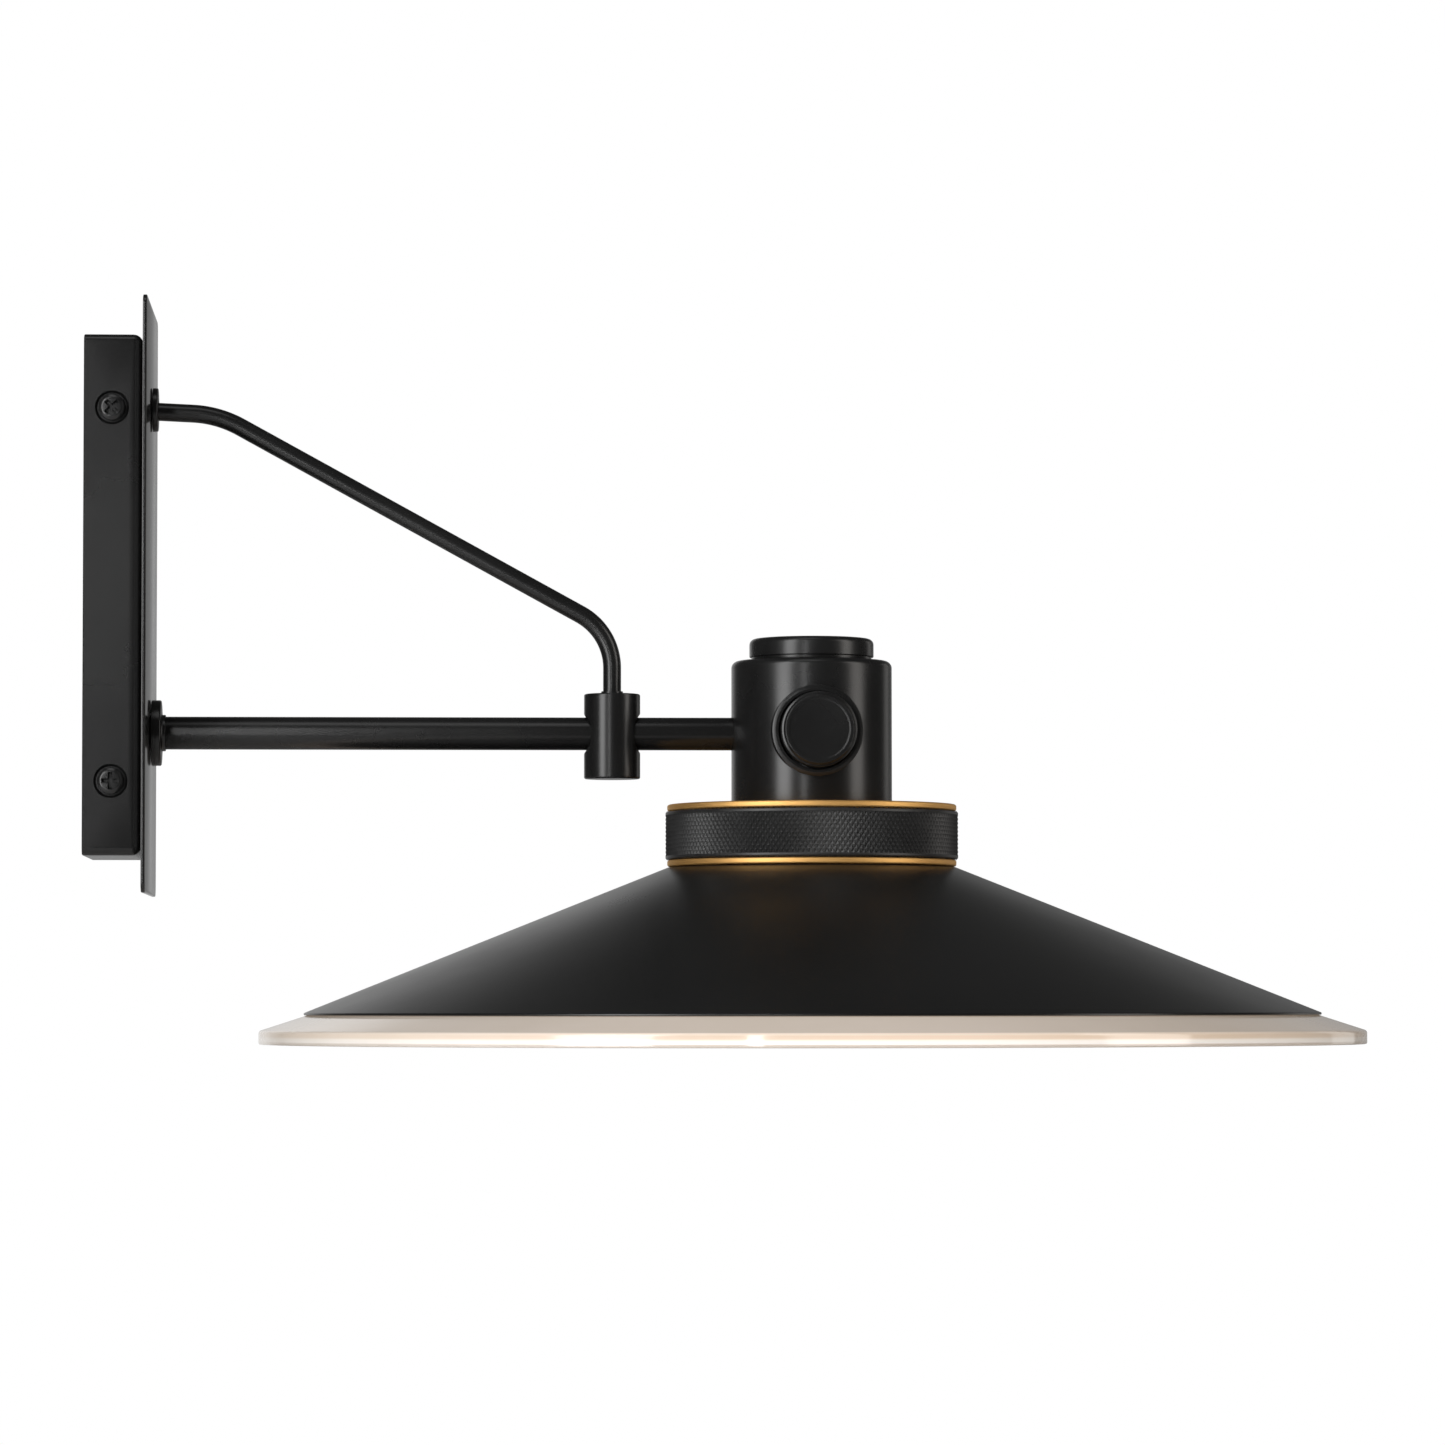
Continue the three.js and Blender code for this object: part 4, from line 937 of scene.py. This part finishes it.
def makeKnurledRing(settings):
    low, high = cadBox("knurled_ring")
    radius = (high.x - low.x) / 2
    floor = radius - settings["depth"]
    band = settings["band"]
    profile = rounded([(settings["bore"], low.z, 0.2), (radius, low.z, settings["edge"]),
                       (radius, low.z + band, 0.05), (floor, low.z + band + 0.1, 0),
                       (floor, high.z - band - 0.1, 0), (radius, high.z - band, 0.05),
                       (radius, high.z, settings["edge"]), (settings["bore"], high.z, 0.2)], 4)
    base = stand(turned(profile, 240), "up", headAxis)
    baseMesh = meshOf("knurlBase", base, finishes["knurled_black"])
    rows = round((high.z - low.z - 2 * band) / settings["pitch"]) + 1
    pitch = (high.z - low.z - 2 * band) / (rows - 1)
    halfWide = math.pi * floor / settings["around"]
    halfTall = pitch
    tall, tip = settings["depth"] - settings["proud"], settings["tipShare"]
    diamond = bmesh.new()
    outer = [(0, halfWide, 0), (0, 0, halfTall), (0, -halfWide, 0), (0, 0, -halfTall)]
    feet = [diamond.verts.new(corner) for corner in outer]
    crown = [diamond.verts.new((tall, y * tip, z * tip)) for _, y, z in outer]
    for index in range(4):
        after = (index + 1) % 4
        diamond.faces.new((feet[index], feet[after], crown[after], crown[index]))
    diamond.faces.new(crown)
    bmesh.ops.recalc_face_normals(diamond, faces=diamond.faces)
    if diamond.faces[-1].normal.x < 0:
        bmesh.ops.reverse_faces(diamond, faces=diamond.faces)
    diamond.transform(Matrix.Scale(millimetre, 4))
    shape = bpy.data.meshes.new("diamondTemplate")
    diamond.to_mesh(shape)
    diamond.free()
    template = bpy.data.objects.new("diamondTemplate", shape)
    bpy.context.scene.collection.objects.link(template)
    mesh = grown("knurled_collar", baseMesh, knurlTree(), {
        "Diamond": template, "Around": settings["around"], "Rows": rows, "Radius": floor * millimetre,
        "First Row": (low.z + band) * millimetre, "Row Pitch": pitch * millimetre,
        "Axis": headAxis * millimetre, "Material": finishes["knurled_black"],
    })
    bpy.data.objects.remove(template)
    addPiece("knurled_collar", mesh, "knurled_black", "ring", "knurled_ring")


makeKnurledRing(knurlSettings)
print("brass and knurled rings made")


metalSettings = {"sheet": 1.2, "bore": 44.0, "crownInset": 0.3, "lipDrop": 0.95, "lipWidth": 1.1,
                 "crownBend": 1.6}


def makeMetalShade(settings):
    low, high = cadBox("metal_shade")
    radius = (high.x - low.x) / 2 - 0.02
    crown = (cadBox("brass_ring_lower")[1].x - cadBox("brass_ring_lower")[0].x) / 2 - settings["crownInset"]
    sheet = settings["sheet"]
    lipTop = low.z + settings["lipDrop"]
    profile = rounded([(settings["bore"], high.z, 0.2), (crown, high.z, settings["crownBend"]),
                       (radius - 0.35, lipTop, 0.4), (radius, lipTop - 0.25, 0.2), (radius, low.z, 0.35),
                       (radius - settings["lipWidth"], low.z, 0.3),
                       (radius - settings["lipWidth"], lipTop - sheet * 0.6, 0.2),
                       (crown - 0.2, high.z - sheet, 1.0), (settings["bore"], high.z - sheet, 0.2)], 5)
    addPiece("outer_shade", stand(turned(profile, 320), "up", headAxis), "shade_black", "head", "metal_shade")


makeMetalShade(metalSettings)

glassSettings = {"sheet": 5.0, "bore": 44.2, "seat": 50.0, "seatBend": 6.0, "rimRounding": 1.3,
                 "slope": math.radians(18)}


def makeGlassShade(settings):
    low, high = cadBox("glass_shade")
    radius = (high.x - low.x) / 2 - 0.02
    sheet = settings["sheet"]
    rise = math.tan(settings["slope"])
    across = sheet / math.cos(settings["slope"])
    rimTop = high.z - (radius - settings["seat"]) * rise
    profile = rounded([(settings["bore"], high.z, 0.4), (settings["seat"], high.z, settings["seatBend"]),
                       (radius, rimTop, settings["rimRounding"]),
                       (radius, rimTop - across + 0.4, settings["rimRounding"]),
                       (radius - 1.2, rimTop - across + 0.35, 0.8),
                       (settings["seat"], high.z - across, settings["seatBend"]),
                       (settings["bore"], high.z - across, 0.4)], 8)
    addPiece("opal_shade", stand(turned(profile, 320), "up", headAxis), "opal_glass", "head", "glass_shade")


makeGlassShade(glassSettings)

globeSettings = {
    "neck": 12.4, "neckLength": 8.0, "lowest": -88, "neckAngle": 52, "steps": 40, "neckSteps": 12,
}


def makeGlobe(settings):
    low, high = cadBox("bulb_globe")
    radius = (high.x - low.x) / 2
    middle = low.z + radius
    outline = [(0, low.z)]
    lowest, neckAngle = math.radians(settings["lowest"]), math.radians(settings["neckAngle"])
    for step in range(settings["steps"] + 1):
        angle = lowest + (neckAngle - lowest) * step / settings["steps"]
        outline.append((radius * math.cos(angle), middle + radius * math.sin(angle)))
    start = Vector(outline[-1])
    neckEnd = Vector((settings["neck"], high.z - settings["neckLength"] * 0.4))
    for step in range(1, settings["neckSteps"] + 1):
        share = step / settings["neckSteps"]
        bend = share * share * (3 - 2 * share)
        outline.append((start.x + (neckEnd.x - start.x) * math.sin(share * math.pi / 2) ** 0.9,
                        start.y + (neckEnd.y - start.y) * (share + bend) / 2))
    outline.append((settings["neck"], high.z))
    outline.append((0, high.z))
    addPiece("lamp_globe", stand(turned(outline, 128), "up", headAxis), "bulb_glass", "head", "bulb_globe")


makeGlobe(globeSettings)
print("shades and lamp made")


for name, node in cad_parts.items():
    for slotHolder in node.material_slots:
        label = slotHolder.material.name.split(".")[0] if slotHolder.material else ""
        if label in finishes and slotHolder.material is not finishes[label]:
            slotHolder.material = finishes[label]


stageSettings = {"floorDrop": 0.62, "floorRadius": 2.2, "paleness": 0.5}


# The floor looks pale without lighting the lamp from below
def keepPale(material, strength):
    tree = material.node_tree
    shader = tree.nodes["Principled BSDF"]
    path = addNode(tree, "ShaderNodeLightPath")
    lift = mathNode(tree, "MULTIPLY", path.outputs["Is Camera Ray"], strength)
    tree.links.new(lift, shader.inputs["Emission Strength"])
    shader.inputs["Emission Color"].default_value = (1, 1, 1, 1)


# A camera under the floor looks through it
def hideFromBelow(material):
    tree = material.node_tree
    link = tree.links.new
    side = addNode(tree, "ShaderNodeNewGeometry")
    clear = addNode(tree, "ShaderNodeBsdfTransparent")
    choose = addNode(
        tree, "ShaderNodeMixShader",
        {0: side.outputs["Backfacing"], 1: tree.nodes["Principled BSDF"].outputs[0], 2: clear.outputs[0]},
    )
    link(choose.outputs[0], tree.nodes["Material Output"].inputs["Surface"])


def makeFloor(settings):
    shape = bmesh.new()
    bmesh.ops.create_circle(shape, cap_ends=True, radius=settings["floorRadius"], segments=96)
    bmesh.ops.translate(shape, verts=shape.verts, vec=(0.23, 0, -settings["floorDrop"]))
    mesh = bpy.data.meshes.new("floor")
    shape.to_mesh(mesh)
    shape.free()
    floor = bpy.data.objects.new("floor", mesh)
    bpy.context.scene.collection.objects.link(floor)
    paint = newFinish(
        "floorPaint", paintSkin, (300, 3), grey(0.82), grey(0.86), (0.6, 0.7), (0.05, 0.0005),
    )
    keepPale(paint, settings["paleness"])
    hideFromBelow(paint)
    mesh.materials.append(paint)


makeFloor(stageSettings)

worldSettings = {"seen": 1.0, "behindLeft": 0.75, "behindRight": 0.3, "turn": 0.12, "around": 0.06,
                 "backStart": 0.8, "backFull": 0.97, "topStart": 0.3, "topEnd": 0.58}


def makeWorld(settings):
    world = bpy.data.worlds.new("studio")
    bpy.context.scene.world = world
    world.use_nodes = True
    tree = world.node_tree
    tree.nodes.clear()
    link = tree.links.new
    where = addNode(tree, "ShaderNodeTexCoord")
    parts = addNode(tree, "ShaderNodeSeparateXYZ", {0: where.outputs["Generated"]})
    depth = addNode(
        tree, "ShaderNodeMapRange", {"From Min": settings["backStart"], "From Max": settings["backFull"]},
        interpolation_type="SMOOTHSTEP",
    )
    link(parts.outputs["Y"], depth.inputs["Value"])
    tall = mathNode(tree, "ABSOLUTE", parts.outputs["Z"])
    band = addNode(
        tree, "ShaderNodeMapRange",
        {"From Min": settings["topStart"], "From Max": settings["topEnd"], "To Min": 1.0, "To Max": 0.0},
        interpolation_type="SMOOTHSTEP",
    )
    link(tall, band.inputs["Value"])
    card = mathNode(tree, "MULTIPLY", depth.outputs["Result"], band.outputs["Result"])
    across = addNode(
        tree, "ShaderNodeMapRange",
        {"From Min": -settings["turn"], "From Max": settings["turn"], "To Min": settings["behindLeft"],
         "To Max": settings["behindRight"]},
    )
    link(parts.outputs["X"], across.inputs["Value"])
    tone = addNode(tree, "ShaderNodeMix", data_type="RGBA")
    tone.inputs["A"].default_value = grey(settings["around"])
    link(across.outputs["Result"], tone.inputs["B"])
    link(card, tone.inputs["Factor"])
    soft = addNode(tree, "ShaderNodeBackground", {"Color": tone.outputs["Result"]})
    white = addNode(tree, "ShaderNodeBackground", {"Color": grey(settings["seen"])})
    path = addNode(tree, "ShaderNodeLightPath")
    choose = addNode(
        tree, "ShaderNodeMixShader",
        {0: path.outputs["Is Camera Ray"], 1: soft.outputs[0], 2: white.outputs[0]},
    )
    out = addNode(tree, "ShaderNodeOutputWorld", {"Surface": choose.outputs[0]})


makeWorld(worldSettings)

# Angles are seen from the object: 0 is towards the camera, plus is to the right
lightSettings = {
    "keyBox": {"angle": -44, "rise": 8, "distance": 1.7, "size": (0.6, 2.2), "power": 24, "tint": (1, 1, 1)},
    "keyStrip": {"angle": -15, "rise": 6, "distance": 4.0, "size": (0.22, 4.2), "power": 24,
                 "tint": (1, 1, 1)},
    "warmBox": {"angle": 64, "rise": 8, "distance": 1.7, "size": (0.6, 2.0), "power": 11,
                "tint": (1, 0.96, 0.92)},
    "edgeStrip": {"angle": 132, "rise": 2, "distance": 1.8, "size": (0.5, 1.2), "power": 1.0,
                  "tint": (1, 0.98, 0.95)},
    "topBox": {"angle": -20, "rise": 66, "distance": 1.7, "size": (0.9, 0.6), "power": 2, "tint": (1, 1, 1)},
}


def makeLights(settings):
    aim = headAxis * millimetre + Vector((0, 0, -0.05))
    for name, values in settings.items():
        lamp = bpy.data.lights.new(name, "AREA")
        lamp.shape = "RECTANGLE"
        lamp.size, lamp.size_y = values["size"]
        lamp.energy = values["power"]
        lamp.color = values["tint"]
        angle, rise = math.radians(values["angle"]), math.radians(values["rise"])
        away = Vector((math.sin(angle) * math.cos(rise), -math.cos(angle) * math.cos(rise), math.sin(rise)))
        holder = bpy.data.objects.new(name, lamp)
        holder.location = aim + away * values["distance"]
        holder.rotation_euler = away.to_track_quat("Z", "Y").to_euler()
        holder.visible_camera = False
        bpy.context.scene.collection.objects.link(holder)


makeLights(lightSettings)

cameraSettings = {"place": (0.11721, -2.1, -0.14684), "yaw": 0.0547, "pitch": 0.0488, "roll": -0.0007,
                  "lens": 142.76}


def makeCamera(settings):
    yaw, pitch, roll = settings["yaw"], settings["pitch"], settings["roll"]
    ahead = Vector((math.sin(yaw) * math.cos(pitch), math.cos(yaw) * math.cos(pitch), math.sin(pitch)))
    right = Vector((math.cos(yaw), -math.sin(yaw), 0))
    up = right.cross(ahead)
    tilted = right * math.cos(roll) + up * math.sin(roll)
    raised = up * math.cos(roll) - right * math.sin(roll)
    camera = bpy.data.cameras.new("camera")
    camera.sensor_width = 36
    camera.lens = settings["lens"]
    camera.clip_start, camera.clip_end = 0.05, 60
    holder = bpy.data.objects.new("camera", camera)
    holder.matrix_world = Matrix((
        (tilted.x, raised.x, -ahead.x, settings["place"][0]),
        (tilted.y, raised.y, -ahead.y, settings["place"][1]),
        (tilted.z, raised.z, -ahead.z, settings["place"][2]),
        (0, 0, 0, 1),
    ))
    bpy.context.scene.collection.objects.link(holder)
    bpy.context.scene.camera = holder


makeCamera(cameraSettings)
bpy.context.scene.view_settings.view_transform = "Standard"
print("stage, lights and camera made")
